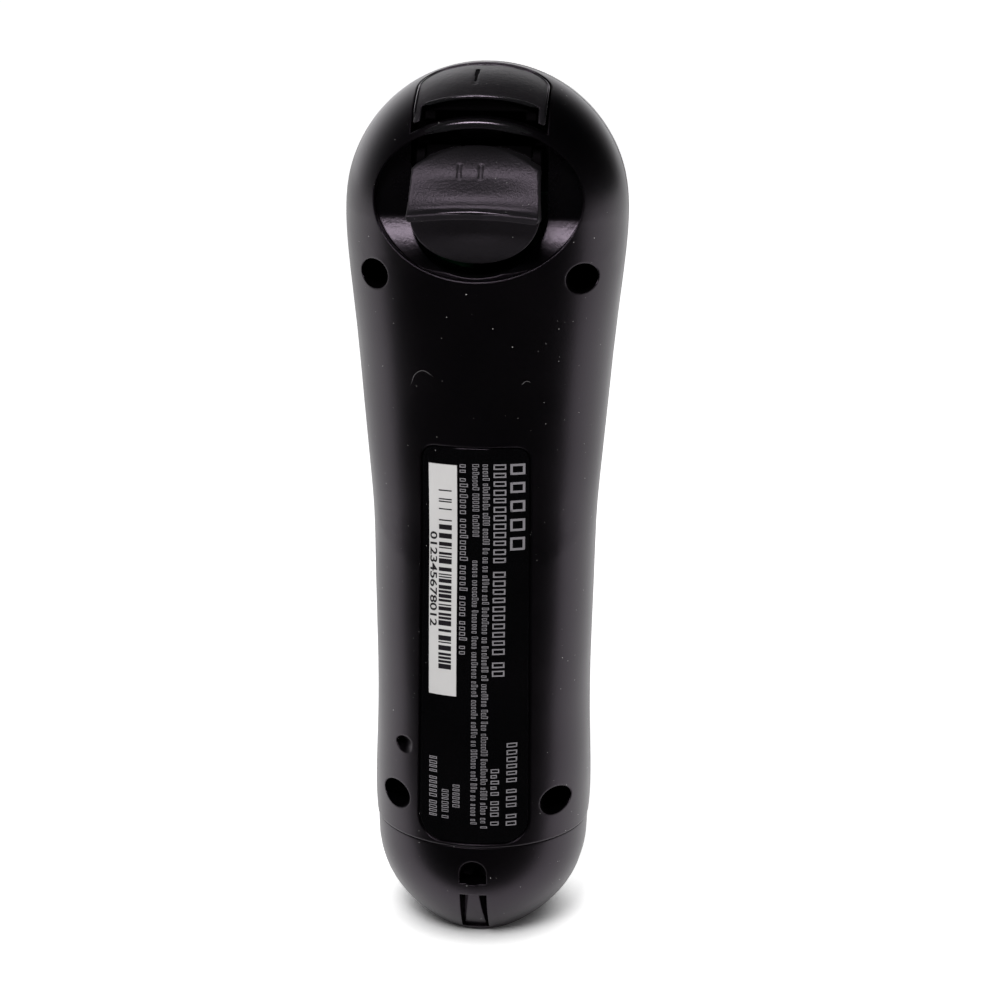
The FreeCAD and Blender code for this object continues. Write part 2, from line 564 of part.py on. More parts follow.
def lower_trigger():
    # Lever with a flared lip: a side outline drawn out along X, trimmed to the face and half-moon skirt
    depth, height = -size("lower_pin_depth"), size("dome_height") + size("lower_pin_rise")

    def spot(forward, up):
        return yz_point(depth - forward, height + up)
    face = Part.BSplineCurve()
    face.interpolate([spot(0, 1.95), spot(2.4, 2.1), spot(5.0, 0.9), spot(7.4, -1.7), spot(8.9, -4.5),
                      spot(11.4, -6.9)])
    back = Part.BSplineCurve()
    back.interpolate([spot(3.9, -14.0), spot(5.0, -10.1), spot(5.2, -6.1), spot(4.0, -3.0), spot(0, -1.95)])
    skirt = Part.Arc(spot(7.9, -8.0), spot(7.5, -11.5), spot(5.6, -14.5))
    edges = [face.toShape(), Part.makeLine(spot(11.4, -6.9), spot(11.1, -7.8)),
             Part.makeLine(spot(11.1, -7.8), spot(7.9, -8.0)), skirt.toShape(),
             Part.makeLine(spot(5.6, -14.5), spot(3.9, -14.0)), back.toShape(),
             Part.Arc(spot(0, -1.95), spot(-1.95, 0), spot(0, 1.95)).toShape()]
    lever = prism_along_x("lever_block", Part.Wire(edges), size("lower_key_half_width") + 1)
    low, corner_high, crown = height - 7.95, height - 0.6, height + 2.2
    wide, narrow = size("lower_key_half_width"), size("lower_key_half_width") - 0.4

    def face_point(x, z):
        return FreeCAD.Vector(x, -far, z)
    arch = Part.Arc(face_point(narrow, corner_high), face_point(0, crown), face_point(-narrow, corner_high))
    sides = [Part.makeLine(face_point(-narrow, corner_high), face_point(-wide, low)),
             Part.makeLine(face_point(-wide, low), face_point(wide, low)),
             Part.makeLine(face_point(wide, low), face_point(narrow, corner_high))]
    face_sheet = Part.Face(Part.Wire([arch.toShape()] + sides))
    face_block = solid_from("face_outline", face_sheet.extrude(FreeCAD.Vector(0, far + depth - 1.0, 0)))
    barrel_block = box("barrel_outline", ("-lower_key_half_width", "lower_key_half_width"),
                       ("-lower_pin_depth - 1.01", "0"), ("dome_height + lower_pin_rise - 7.95", "200"))
    moon = doc.addObject("Part::Ellipse", "skirt_arc")
    moon.MajorRadius = 9.4
    moon.MinorRadius = 7.2
    moon.Placement = FreeCAD.Placement(FreeCAD.Vector(), axis_turns["y"])
    place(moon, "0", -far, "dome_height + lower_pin_rise - 7.3")
    moon_block = doc.addObject("Part::Extrusion", "skirt_outline")
    moon_block.Base = moon
    moon_block.DirMode = "Custom"
    moon_block.Dir = FreeCAD.Vector(0, 1, 0)
    moon_block.LengthFwd = far
    moon_block.Solid = True
    body = common("lever_trimmed", lever, fuse("lever_outline", face_block, barrel_block, moon_block))
    pin = ("-lower_pin_depth", "dome_height + lower_pin_rise")
    tools = [cylinder("lever_bore", "x", "pin_radius + pin_gap", (-11, 11), pin),
             cylinder("spring_room", "x", "2.3", (-2.6, 2.6), pin),
             cylinder("cheek_room_left", "x", "2.3", (-11, -7.7), pin),
             cylinder("cheek_room_right", "x", "2.3", (7.7, 11), pin)]
    return cut("lower_trigger", body, *tools)


def trigger_frame():
    # Inner bracket screwed behind the oval insert; its cheeks hold both trigger pins
    plate = box("frame_plate", (-14.6, 14.6), ("-7", "-5.6"), ("dome_height + 3.1", "dome_height + 8.9"))
    stem = box("frame_stem", (-5, 5), ("-7", "-5.6"), ("dome_height - 5.5", "dome_height + 4"))
    shelf = box("frame_shelf", (-5, 5), ("-9.4", "-4"), ("dome_height + 6.8", "dome_height + 8"))
    lower_pin = ("-lower_pin_depth", "dome_height + lower_pin_rise")
    upper_pin = ("upper_pin_front", "dome_height + upper_pin_rise")
    members = [plate, stem, shelf]
    for side, low, high in (("left", -9.1, -7.9), ("right", 7.9, 9.1)):
        members.append(box("lower_cheek_" + side, (low, high), ("-lower_pin_depth", "-6"),
                           ("dome_height + lower_pin_rise - 1.8", "dome_height + lower_pin_rise + 1.8")))
        members.append(cylinder("lower_lug_" + side, "x", "1.8", (low, high), lower_pin))
    for side, low, high in (("left", -9.7, -8.5), ("right", 8.5, 9.7)):
        members.append(box("upper_cheek_" + side, (low, high), ("-7", "upper_pin_front"),
                           ("dome_height + 6.2", "dome_height + upper_pin_rise")))
        members.append(cylinder("upper_lug_" + side, "x", "1.9", (low, high), upper_pin))
    holes = [cylinder("lower_pin_seat", "x", "pin_radius + 0.02", (-11, 11), lower_pin),
             cylinder("upper_pin_seat", "x", "pin_radius + 0.02", (-11, 11), upper_pin)]
    holes += [cylinder("frame_hole_%d" % number, "y", "0.95", ("-8", "-5"), spot)
              for number, spot in enumerate(frame_spots)]
    holes.append(box("switch_notch", (-3.1, 3.1), ("-9.4", "-4.3"), ("dome_height + 8", "dome_height + 10")))
    return cut("trigger_frame", common("frame_solid", fuse("frame_parts", *members), clear_inside), *holes)


def small_trigger_parts():
    lower_pin = ("-lower_pin_depth", "dome_height + lower_pin_rise")
    upper_pin = ("upper_pin_front", "dome_height + upper_pin_rise")
    return [
        cylinder("lower_trigger_pin", "x", "pin_radius", (-9.1, 9.1), lower_pin),
        cylinder("upper_trigger_pin", "x", "pin_radius", (-9.7, 9.7), upper_pin),
        cut("lower_trigger_spring", cylinder("spring_outside", "x", "1.9", (-2.4, 2.4), lower_pin),
            cylinder("spring_inside", "x", "pin_radius + 0.2", (-3, 3), lower_pin)),
        box("upper_trigger_switch", (-3, 3), ("-9.2", "-4.4"), ("dome_height + 8", "dome_height + 13.4")),
        box("lower_trigger_sensor", (-3.5, 3.5), ("-8.4", "-7"), ("dome_height - 4.5", "dome_height + 1")),
        fuse("frame_screws", *[fuse("frame_screw_%d" % number,
             cylinder("frame_screw_head_%d" % number, "y", "1.6", ("-5.6", "-4.4"), spot),
             cylinder("frame_screw_shank_%d" % number, "y", "0.7", ("-10.2", "-5.6"), spot))
             for number, spot in enumerate(frame_spots)])]


def stick_parts():
    axis = "dome_height - stick_drop"
    centre = ("0", "stick_pivot", axis)

    def above(rise):
        return "stick_pivot + (%s)" % rise
    ring_blank = cylinder("ring_blank", "y", "13.0", (above("7.42"), above("8.3")), ("0", axis))
    ring_seat = cut("stick_ring", rounded("ring_block", ring_blank, 0.4, is_rim(15.2)),
                    cone("ring_opening", "y", "9.9", "10.6", (above("7.4"), above("8.4")), ("0", axis)))
    skirt = sphere("skirt_ball", "skirt_radius", ("0", "0", "0"))
    skirt.Angle1 = 18
    hollow = sphere("skirt_hollow", "skirt_radius - 0.9", ("0", "0", "0"))
    dome = cut("skirt_dome", skirt, hollow)
    dome.Placement = FreeCAD.Placement(FreeCAD.Vector(), axis_turns["y"])
    place(dome, *centre)
    neck = cylinder("stick_neck", "y", "4.8", (above("skirt_radius - 1.2"), above("15")), ("0", axis))
    disc_span = (above("stick_cap_rise - 3.3"), above("stick_cap_rise"))
    disc = cylinder("cap_disc", "y", "stick_cap_radius", disc_span, ("0", axis))
    disc = rounded("cap_disc_round", disc, 1.2, is_rim(0))
    dish = sphere("cap_dish", "24", ("0", above("stick_cap_rise + 24 - 1.3"), axis))
    socket = cylinder("cap_socket", "y", "shaft_radius + 0.02", (above("8"), above("13.5")), ("0", axis))
    cap = cut("stick_cap", fuse("cap_solid", dome, neck, disc), dish, socket)
    shaft = cylinder("stick_shaft", "y", "shaft_radius", (above("-2.6"), above("13.4")), ("0", axis))
    ring = cut("gimbal_ring", fuse("ring_parts",
               cylinder("ring_disc", "y", "5", (above("-1.2"), above("1.2")), ("0", axis)),
               cylinder("ring_pin_left", "x", "0.9", (-6.4, -4.5), ("stick_pivot", axis)),
               cylinder("ring_pin_right", "x", "0.9", (4.5, 6.4), ("stick_pivot", axis))),
               sphere("ring_room", "3.75", centre),
               cylinder("ring_axle_holes", "z", "0.8 + pin_gap", (axis + " - 6", axis + " + 6"),
                        ("0", "stick_pivot")))
    hub = cut("gimbal_hub", fuse("hub_parts", sphere("hub_ball", "3.2", centre),
              cylinder("hub_axle", "z", "0.8", (axis + " - 4.7", axis + " + 4.7"), ("0", "stick_pivot"))),
              cylinder("hub_bore", "y", "shaft_radius + pin_gap", (above("-4"), above("4")), ("0", axis)))
    half = "housing_half"
    housing = cut("stick_housing",
                  box("housing_block", ("-" + half, half), ("board_face", above("4")),
                      (axis + " - " + half, axis + " + " + half)),
                  box("housing_room", ("-%s + 0.9" % half, half + " - 0.9"), (above("-4.2"), above("3.2")),
                      (axis + " - %s + 0.9" % half, axis + " + %s - 0.9" % half)),
                  cylinder("housing_mouth", "y", "4.7", (above("3"), above("5")), ("0", axis)),
                  cylinder("housing_pin_holes", "x", "0.9 + pin_gap", (-8, 8), ("stick_pivot", axis)))
    sensors = fuse("stick_sensors",
                   box("side_sensor", ("-%s - 2.8" % half, "-" + half), (above("-5.2"), above("-2.2")),
                       (axis + " - 4", axis + " + 4")),
                   box("low_sensor", (-4, 4), (above("-5.2"), above("-2.2")),
                       (axis + " - %s - 2.8" % half, axis + " - " + half)))
    switch = box("stick_click_switch", (-2.5, 2.5), (above("-4.2"), above("-3.8")),
                 (axis + " - 2.5", axis + " + 2.5"))
    return [ring_seat, cap, shaft, ring, hub, housing, sensors, switch]


def pad_parts():
    axis = "dome_height - dpad_drop"
    arm, reach = "dpad_arm", "dpad_reach"
    ball_height = 8.0
    cross = fuse("pad_cross",
                 box("pad_wide", ("-" + reach, reach), ("dpad_top - 5.6", "dpad_top"),
                     (axis + " - " + arm, axis + " + " + arm)),
                 box("pad_tall", ("-" + arm, arm), ("dpad_top - 5.6", "dpad_top"),
                     (axis + " - " + reach, axis + " + " + reach)))

    def on_arm_end(edge):
        middle = edge.CenterOfMass
        height = middle.z - size("dome_height") + size("dpad_drop")
        return runs_along("y")(edge) and math.hypot(middle.x, height) > 8
    cross = rounded("pad_cross_round", cross, 1.0, on_arm_end)
    plate = cylinder("pad_plate", "y", "9.4", ("dpad_top - 5.7", "dpad_top - 4.9"), ("0", axis))
    hub = cylinder("pad_hub", "y", "2.8", ("8.5", "dpad_top - 5"), ("0", axis))
    nubs = [cylinder("pad_nub_%d" % number, "y", "1.2", ("board_face + mat_thickness + 1.7", "dpad_top - 5"),
                     (str(x), "%s + (%g)" % (axis, z)))
            for number, (x, z) in enumerate(((7.4, 0), (-7.4, 0), (0, 7.4), (0, -7.4)))]
    dimple = sphere("pad_dimple", "16", ("0", "dpad_top + 15.4", axis))
    key = cut("dpad_key", fuse("pad_solid", cross, plate, hub, *nubs), dimple,
              sphere("pad_socket", "1.8 + pin_gap", ("0", ball_height, axis)))
    ball = sphere("dpad_pivot", "1.8", ("0", ball_height, axis))
    post = cut("dpad_post", cylinder("post_blank", "y", "2.4", ("board_face", "7.4"), ("0", axis)),
               sphere("post_cup", "1.8 + pin_gap", ("0", ball_height, axis)))
    return [key, ball, post]


def round_buttons():
    buttons = []
    for name, side in (("action_button_left", -1), ("action_button_right", 1)):
        head = tilted_cylinder(name + "_head", "action_radius", "-2.4", "0.9", side)
        head = rounded(name + "_round", head, 0.6, is_rim(size("action_front") - 1))
        flange = common(name + "_flange", clear_inside,
                        tilted_cylinder(name + "_disc", "action_radius + 0.7", "-4.1", "-3.3", side))
        neck = tilted_cylinder(name + "_neck", "action_radius", "-4.1", "-2.3", side)
        stem = tilted_cylinder(name + "_stem", "1.3", "-9.0", "-4", side)
        buttons.append(fuse(name, head, neck, flange, stem))
    axis = "dome_height - home_drop"
    home_head = cylinder("home_head", "y", "home_radius", ("11.4", "16.0"), ("0", axis))
    home_head = rounded("home_round", home_head, 0.6, is_rim(15))
    buttons.append(fuse("home_button", home_head,
                        cylinder("home_flange", "y", "home_radius + 0.8", ("11.4", "12.2"), ("0", axis)),
                        cylinder("home_stem", "y", "1.6", ("board_face + mat_thickness + 1.7", "11.5"),
                                 ("0", axis))))
    return buttons


def electronics():
    face, back = "board_face", "board_face - board_thickness"
    top = "dome_height + board_top"
    lamp = "dome_height - lamp_drop"
    blank = fuse("board_blank",
                 box("board_lower", ("-board_half_width", "board_half_width"), (back, face),
                     ("board_low", "dome_height - 13.5")),
                 box("board_upper", (-11, 11), (back, face), ("dome_height - 14", top)))
    board = cut("main_board", blank, *[cylinder("board_hole_%d" % number, "y", "0.95", ("0", "3"), (x, z))
                                       for number, (x, z) in enumerate(board_spots)])
    mat_front = "board_face + mat_thickness"
    mat_sheet = box("mat_sheet", (-10.6, 10.6), (face, mat_front),
                    ("dome_height - home_drop - 5", "dome_height - 20.8"))
    pads = [(0, "dome_height - dpad_drop + 7.4"), (0, "dome_height - dpad_drop - 7.4"),
            (7.4, "dome_height - dpad_drop"), (-7.4, "dome_height - dpad_drop"),
            (-7.9, "dome_height - action_drop"), (7.9, "dome_height - action_drop"),
            (0, "dome_height - home_drop")]
    domes = [cone("mat_dome_%d" % number, "y", "2.4", "1.5", (face, mat_front + " + 1.4"), (x, z))
             for number, (x, z) in enumerate(pads)]
    mat = cut("key_mat", fuse("mat_solid", mat_sheet, *domes),
              cylinder("mat_hole", "y", "2.6", ("0", "8"), ("0", "dome_height - dpad_drop")))
    lamp_steps = list(enumerate((-1.5, -0.5, 0.5, 1.5)))
    lamps = fuse("indicator_lamps", *[box("lamp_%d" % number,
                 ("%g*lamp_pitch - 0.8" % step, "%g*lamp_pitch + 0.8" % step), (face, "board_face + 0.7"),
                 (lamp + " - 0.5", lamp + " + 0.5")) for number, step in lamp_steps])
    pipes = [box("pipe_%d" % number, ("%g*lamp_pitch - 0.75" % step, "%g*lamp_pitch + 0.75" % step),
                 ("board_face + 0.9", far), (lamp + " - 0.4", lamp + " + 0.4"))
             for number, step in lamp_steps]
    bar = box("pipe_bar", (-6.5, 6.5), ("11.2", "12.4"), (lamp + " - 0.8", lamp + " + 0.8"))
    guide = common("light_guide", fuse("guide_parts", bar, *pipes), body_solid("guide_limit", 0.08))
    shield = box("shield_can", (-9, 5), ("-0.9", back), (50, 64))
    chip = box("processor_chip", (-4.5, 4.5), ("board_face - board_thickness - 0.9", back), (67, 76))
    link_points = [(0.94, 13.5), (0.94, 17), (0.78, 30.5), (0.78, 34),
                   (0.96, 34), (0.96, 30.6), (1.12, 17.1), (1.12, 13.5)]
    link_wire = Part.makePolygon([yz_point(*point) for point in link_points + link_points[:1]])
    link = prism_along_x("board_link", link_wire, 3.0)
    socket_back, socket_top = "socket_front - socket_half_depth", "socket_front + socket_half_depth"
    tail_board = box("tail_board", (-7, 7), (socket_back + " - 1", socket_back),
                     ("cap_wall + 0.1", "seam_height - 1.6"))
    socket = cut("charging_socket",
                 box("socket_shell", ("-socket_half_width", "socket_half_width"), (socket_back, socket_top),
                     ("0.8", "9.8")),
                 box("socket_mouth", ("-socket_half_width + 0.35", "socket_half_width - 0.35"),
                     (socket_back + " + 0.35", socket_top + " - 0.35"), ("0", "6.8")))
    tongue = box("socket_tongue", (-2.6, 2.6), ("socket_front - 0.35", "socket_front + 0.35"), ("1.8", "7"))
    reset_z = "reset_height"
    reset_body = cut("reset_switch", box("reset_block", ("reset_x - 1.3", "reset_x + 1.3"), ("-1", back),
                     (reset_z + " - 1.3", reset_z + " + 1.3")),
                     cylinder("reset_bore", "y", "0.75", ("-2", "-0.1"), ("reset_x", reset_z)))
    plunger = cylinder("reset_plunger", "y", "0.7", ("-1.9", "-0.4"), ("reset_x", reset_z))
    screws = fuse("board_screws", *[fuse("board_screw_%d" % number,
                  cylinder("board_screw_head_%d" % number, "y", "1.5", (back + " - 1.1", back), (x, z)),
                  cylinder("board_screw_shank_%d" % number, "y", "0.8", (back, "board_face + 5"), (x, z)))
                  for number, (x, z) in enumerate(board_spots)])
    return [board, mat, lamps, guide, shield, chip, link, tail_board, fuse("usb_socket", socket, tongue),
            reset_body, plunger, screws]


def battery_parts():
    half = "cell_half_width"
    front = "-cell_depth + cell_thickness"
    cell = box("cell_block", ("-" + half, half), ("-cell_depth", front), ("cell_low", "cell_high"))
    cell = rounded("battery_cell", cell, 2.0, runs_along("z"))
    plate = box("tray_plate", ("-%s - 1.1" % half, half + " + 1.1"), (front + " + 0.1", front + " + 1.1"),
                ("cell_low - 2", "cell_high + 2"))
    walls = [box("tray_wall_%d" % number, (low, high), ("-cell_depth + 1.4", front + " + 1"),
                 ("cell_low", "cell_high")) for number, (low, high) in
             enumerate((("-%s - 1.1" % half, "-%s - 0.1" % half), (half + " + 0.1", half + " + 1.1")))]
    tongue = box("tray_tongue", (-3, 3), (front + " + 0.1", front + " + 1.1"),
                 ("cell_low - 7.5", "cell_high + 7.5"))
    holes = [cylinder("tray_hole_%d" % number, "y", "0.95", ("-5", "0"), ("0", z))
             for number, z in enumerate(tray_spots)]
    tray = cut("battery_tray", fuse("tray_solid", plate, tongue, *walls), *holes)
    screws = fuse("tray_screws", *[fuse("tray_screw_%d" % number,
                  cylinder("tray_screw_head_%d" % number, "y", "1.6",
                           (front + " + 1.1", front + " + 2.1"), ("0", z)),
                  cylinder("tray_screw_shank_%d" % number, "y", "0.8",
                           ("-cell_depth", front + " + 1.1"), ("0", z)))
                  for number, z in enumerate(tray_spots)])
    plug_height = size("cell_high") + 8.3
    plug = box("battery_plug", (4.5, 9.5), ("-2", "board_face - board_thickness"),
               ("cell_high + 6.2", "cell_high + 10.4"))
    bend, lead_x, lead_y = 3.6, 7.0, -size("cell_depth") + size("cell_thickness") / 2
    start = FreeCAD.Vector(lead_x, lead_y, size("cell_high"))
    turn_low = FreeCAD.Vector(lead_x, lead_y, plug_height - bend)
    turn_mid = turn_low + FreeCAD.Vector(0, bend * (1 - math.cos(math.pi / 4)), bend * math.sin(math.pi / 4))
    turn_high = turn_low + FreeCAD.Vector(0, bend, bend)
    path = Part.Wire([Part.makeLine(start, turn_low), Part.Arc(turn_low, turn_mid, turn_high).toShape(),
                      Part.makeLine(turn_high, FreeCAD.Vector(lead_x, -2.0, turn_high.z))])
    ring = Part.Wire([Part.makeCircle(0.9, start, FreeCAD.Vector(0, 0, 1))])
    lead = solid_from("battery_lead", path.makePipeShell([ring], True, False))
    return [cell, tray, screws, plug, lead]


def case_screws():
    made = []
    for name, x, z in screw_spots:
        head = cylinder("case_head_" + name, "y", "1.9", ("-screw_seat - 1.5", "-screw_seat"), (x, z))
        shank = cylinder("case_shank_" + name, "y", "screw_radius", ("-screw_seat", "screw_seat"), (x, z))
        slots = [box("case_slot_%s_%d" % (name, number), (x + " - %g" % wide, x + " + %g" % wide),
                     ("-screw_seat - 1.6", "-screw_seat - 0.8"), (z + " - %g" % tall, z + " + %g" % tall))
                 for number, (wide, tall) in enumerate(((1.1, 0.25), (0.25, 1.1)))]
        made.append(cut("case_screw_" + name, fuse("case_screw_blank_" + name, head, shank), *slots))
    return fuse("case_screws", *made)


pieces = [rear_shell(), front_shell(), tail_cap(), trigger_bezel(), upper_trigger(), lower_trigger(),
          trigger_frame(), label_plate(), serial_sticker(), case_screws()]
pieces += small_trigger_parts() + stick_parts() + pad_parts() + round_buttons()
pieces += electronics() + battery_parts()
doc.recompute()

for item in doc.Objects:
    if "Invalid" in item.State or "Error" in item.State:
        raise RuntimeError("not built: " + item.Name)
for piece in pieces:
    piece.Label = piece.Name
    if piece.Shape.isNull() or not piece.Shape.isValid():
        raise RuntimeError("faulty shape: " + piece.Label)

os.makedirs("parts", exist_ok=True)
for piece in pieces:
    piece.Shape.exportStep("parts/%s.step" % piece.Label)
    print(piece.Label, len(piece.Shape.Solids), round(piece.Shape.Volume, 2))
print("pieces:", len(pieces))
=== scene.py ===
import bmesh
import bpy
import json
import math
import numpy as np
from mathutils import Matrix, Vector

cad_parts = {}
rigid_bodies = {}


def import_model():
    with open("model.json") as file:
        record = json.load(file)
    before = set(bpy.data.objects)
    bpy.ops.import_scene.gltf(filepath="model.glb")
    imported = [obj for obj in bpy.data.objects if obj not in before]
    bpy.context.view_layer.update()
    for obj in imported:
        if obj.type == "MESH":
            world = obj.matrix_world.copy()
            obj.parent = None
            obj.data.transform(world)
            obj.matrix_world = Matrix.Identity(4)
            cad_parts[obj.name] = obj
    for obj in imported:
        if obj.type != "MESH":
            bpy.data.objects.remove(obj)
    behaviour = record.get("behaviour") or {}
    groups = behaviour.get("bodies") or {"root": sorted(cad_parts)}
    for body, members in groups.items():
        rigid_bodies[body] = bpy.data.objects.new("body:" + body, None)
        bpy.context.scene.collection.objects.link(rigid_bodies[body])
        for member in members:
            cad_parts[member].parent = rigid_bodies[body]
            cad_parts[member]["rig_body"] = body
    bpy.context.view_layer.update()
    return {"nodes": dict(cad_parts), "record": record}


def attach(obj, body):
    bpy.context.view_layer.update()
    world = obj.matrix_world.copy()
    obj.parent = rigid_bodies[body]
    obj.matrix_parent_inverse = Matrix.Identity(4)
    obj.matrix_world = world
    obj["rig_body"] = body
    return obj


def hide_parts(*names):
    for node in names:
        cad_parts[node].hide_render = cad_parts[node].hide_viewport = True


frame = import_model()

# Motion navigation controller standing on its flat tail end, trigger side towards the camera.
# Shapes are worked out in mm and put in as metres. +Z is up to the head, -Y the trigger side, +Y the stick's.

mm = 0.001
nodes = frame["nodes"]
slotOf = {item["node"]: item["material_slot"] for item in frame["record"]["subparts"]}


def linearColour(hexCode):
    # sRGB hex to linear: c/12.92 below 0.04045, else ((c + 0.055)/1.055)^2.4
    parts = [int(hexCode[i:i + 2], 16) / 255 for i in (1, 3, 5)]
    parts = [c / 12.92 if c <= 0.04045 else ((c + 0.055) / 1.055) ** 2.4 for c in parts]
    return (*parts, 1.0)


def emptyTree(owner):
    # Node tree of a material or a world, ready for its own nodes
    owner.use_nodes = True
    owner.node_tree.nodes.clear()
    return owner.node_tree


def addNode(tree, kind, sockets=(), **settings):
    # One shader node: settings are its own properties, sockets take a constant or another node's output
    node = tree.nodes.new("ShaderNode" + kind)
    for name, value in settings.items():
        setattr(node, name, value)
    for name, value in dict(sockets).items():
        if isinstance(value, bpy.types.NodeSocket):
            tree.links.new(value, node.inputs[name])
        else:
            node.inputs[name].default_value = value
    return node


def patternScale(sizeInMm):
    # Cells per metre for a pattern whose cells are this many millimetres wide
    return 1000 / sizeInMm


def dustOn(tree, look, place, colour, rough):
    # Small pale matt dots: a cell gets one if its random number is high, and the dot grows with that number
    cells = addNode(tree, "TexVoronoi", {"Vector": place, "Scale": patternScale(look["dustPitch"])})
    chance = addNode(tree, "SeparateColor", {"Color": cells.outputs["Color"]})
    radius = addNode(tree, "MapRange", {"Value": chance.outputs[0], "From Min": 1 - look["dust"],
                     "From Max": 1.0, "To Min": 0.0, "To Max": look["dustSize"]})
    speck = addNode(tree, "Math", {0: cells.outputs["Distance"], 1: radius.outputs[0]}, operation="LESS_THAN")
    faded = addNode(tree, "Math", {0: speck.outputs[0], 1: chance.outputs[1]}, operation="MULTIPLY")
    dusty = addNode(tree, "Mix", {"Factor": faded.outputs[0], 6: colour, 7: linearColour("#f0eeec")},
                    data_type="RGBA")
    matt = addNode(tree, "Mix", {"Factor": speck.outputs[0], 2: rough, 3: 0.9}, data_type="FLOAT")
    return dusty.outputs[2], matt.outputs[0]


def surfaceMaterial(look):
    # Clouds shift shade and roughness, grain bumps the surface, edges catch light as if rounded, dust on top
    made = bpy.data.materials.new(look["name"])
    tree = emptyTree(made)
    place = addNode(tree, "TexCoord").outputs["Object"]
    clouds = addNode(tree, "TexNoise", {"Vector": place, "Scale": patternScale(look["cloudSize"]),
                     "Detail": 3.0})
    shade = addNode(tree, "MapRange", {"Value": clouds.outputs[0], "From Min": 0.3, "From Max": 0.7})
    dark, light = [linearColour(code) for code in look["colours"]]
    mixed = addNode(tree, "Mix", {"Factor": shade.outputs[0], 6: dark, 7: light}, data_type="RGBA")
    colour = mixed.outputs[2]
    low, high = look["roughness"]
    rough = addNode(tree, "MapRange", {"Value": clouds.outputs[0], "From Min": 0.25, "From Max": 0.75,
                    "To Min": low, "To Max": high}).outputs[0]
    grain = addNode(tree, "TexNoise", {"Vector": place, "Scale": patternScale(look["grainSize"]),
                    "Detail": 4.0, "Roughness": 0.6})
    rounded = addNode(tree, "Bevel", {"Radius": look["edge"] * mm}, samples=6)
    bump = addNode(tree, "Bump", {"Height": grain.outputs[0], "Strength": look["grainStrength"],
                   "Distance": look["grainDepth"] * mm, "Normal": rounded.outputs[0]})
    if look["dust"]:
        colour, rough = dustOn(tree, look, place, colour, rough)
    shader = addNode(tree, "BsdfPrincipled", {"Base Color": colour, "Roughness": rough,
                     "Normal": bump.outputs[0], "Metallic": look["metal"],
                     "Specular IOR Level": look["shine"], "Specular Tint": (*look["cast"], 1.0),
                     "Coat Weight": look["coat"], "Coat Roughness": 0.08})
    addNode(tree, "OutputMaterial", {"Surface": shader.outputs[0]})
    return made


purple = (0.98, 0.81, 1.0)   # the black dye leaves a faint purple cast in its reflections
